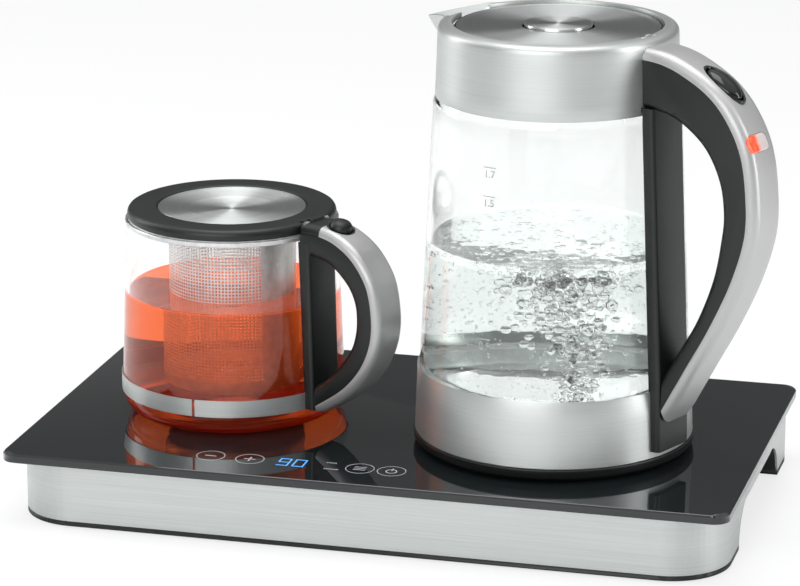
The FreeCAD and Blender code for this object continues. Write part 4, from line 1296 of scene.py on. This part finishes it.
class TEA_OT_stage(bpy.types.Operator):
    """Pale floor, soft studio light and the camera"""
    bl_idname = "tea.stage"
    bl_label = "Stage"

    def execute(self, context):
        context.scene.view_settings.view_transform = "Standard"
        self.floor()
        self.sky(context.scene)
        for softbox in SOFTBOXES:
            self.lamp(context.scene, *softbox)
        self.camera(context.scene)
        return {"FINISHED"}

    def floor(self):
        nothing_selected()
        bpy.ops.mesh.primitive_plane_add(size=12.0, location=(0, 0, -0.0002))
        floor = bpy.context.object
        floor.name = "floor"
        p = Paint("Pale floor")
        p.set(colour=(0.86, 0.87, 0.87), rough=0.6, specular=0.2)
        bright = p.node("ShaderNodeEmission", {}, {"Color": NEUTRAL, "Strength": 1.0})
        seen = p.node("ShaderNodeLightPath", output="Is Camera Ray")
        mixed = p.node("ShaderNodeMixShader", {}, [seen * FLOOR_GLOW, p.shine, bright])
        p.put(p.out.inputs["Surface"], mixed)
        floor.data.materials.append(p.material)

    def sky(self, scene):
        """White where it is seen, and a soft rise toward the top where it lights and is mirrored."""
        scene.world = bpy.data.worlds.new("Studio")
        scene.world.use_nodes = True
        t = Tree(scene.world.node_tree)
        camera = t.node("ShaderNodeLightPath", output="Is Camera Ray")
        through = t.node("ShaderNodeLightPath", output="Is Transmission Ray")
        seen = t.node("ShaderNodeMath", {"operation": "MAXIMUM"}, [camera, through])
        at = t.node("ShaderNodeTexCoord", output="Generated")
        up = t.node("ShaderNodeSeparateXYZ", {}, [at], output="Z")
        rise = t.ramp(up, 0.32, 0.80, 0.15, 0.85, "SMOOTHSTEP")
        level = t.node("ShaderNodeMix", {}, {0: seen, 2: rise, 3: 1.0})
        light = t.node("ShaderNodeBackground", {}, {"Color": NEUTRAL, "Strength": level})
        t.node("ShaderNodeOutputWorld", {}, {"Surface": light})

    def lamp(self, scene, name, place, aim, width, height, power):
        data = bpy.data.lights.new(name, "AREA")
        data.shape = "RECTANGLE"
        data.size = width
        data.size_y = height
        data.energy = power
        obj = bpy.data.objects.new(name, data)
        scene.collection.objects.link(obj)
        obj.location = place
        obj.rotation_euler = (Vector(aim) - Vector(place)).to_track_quat("-Z", "Y").to_euler()

    def camera(self, scene):
        data = bpy.data.cameras.new("Camera")
        data.sensor_fit = "HORIZONTAL"
        data.sensor_width = SENSOR
        data.lens = FOCAL_PIXELS / PHOTO_WIDTH * SENSOR
        data.clip_start = 0.05
        data.clip_end = 50.0
        scene.camera = bpy.data.objects.new("Camera", data)
        scene.collection.objects.link(scene.camera)
        ahead = Vector((-math.sin(CAMERA_YAW), math.cos(CAMERA_YAW), 0)) * math.cos(CAMERA_PITCH)
        forward = ahead - Vector((0, 0, math.sin(CAMERA_PITCH)))
        right = Vector((math.cos(CAMERA_YAW), math.sin(CAMERA_YAW), 0))
        axes = Matrix((right, right.cross(forward), -forward)).transposed().to_4x4()
        scene.camera.matrix_world = Matrix.Translation(CAMERA_AT) @ axes


class TEA_PT_panel(bpy.types.Panel):
    """Lists the settings and the pieces of the tea maker"""
    bl_idname = "TEA_PT_panel"
    bl_label = "Tea Maker"
    bl_space_type = "VIEW_3D"
    bl_region_type = "UI"
    bl_category = "Tea Maker"

    def draw(self, context):
        for key in TeaSettings.__annotations__:
            self.layout.prop(context.scene.tea_maker, key)
        for step in STEPS:
            self.layout.operator(step.bl_idname)


STEPS = (TEA_OT_base, TEA_OT_connector, TEA_OT_controls, TEA_OT_kettle_body, TEA_OT_kettle_collar,
         TEA_OT_kettle_lid, TEA_OT_kettle_handle, TEA_OT_kettle_button, TEA_OT_water, TEA_OT_scale,
         TEA_OT_pot_body, TEA_OT_infuser, TEA_OT_pot_lid, TEA_OT_pot_handle, TEA_OT_tea, TEA_OT_inside,
         TEA_OT_stage)
CLASSES = (TeaSettings,) + STEPS + (TEA_PT_panel,)


def register():
    for cls in CLASSES:
        bpy.utils.register_class(cls)
    bpy.types.Scene.tea_maker = PointerProperty(type=TeaSettings)


def unregister():
    del bpy.types.Scene.tea_maker
    for cls in reversed(CLASSES):
        bpy.utils.unregister_class(cls)


def main():
    register()
    make_finishes()
    for step in STEPS:
        group, name = step.bl_idname.split(".")
        getattr(getattr(bpy.ops, group), name)()


if __name__ == "__main__":
    main()
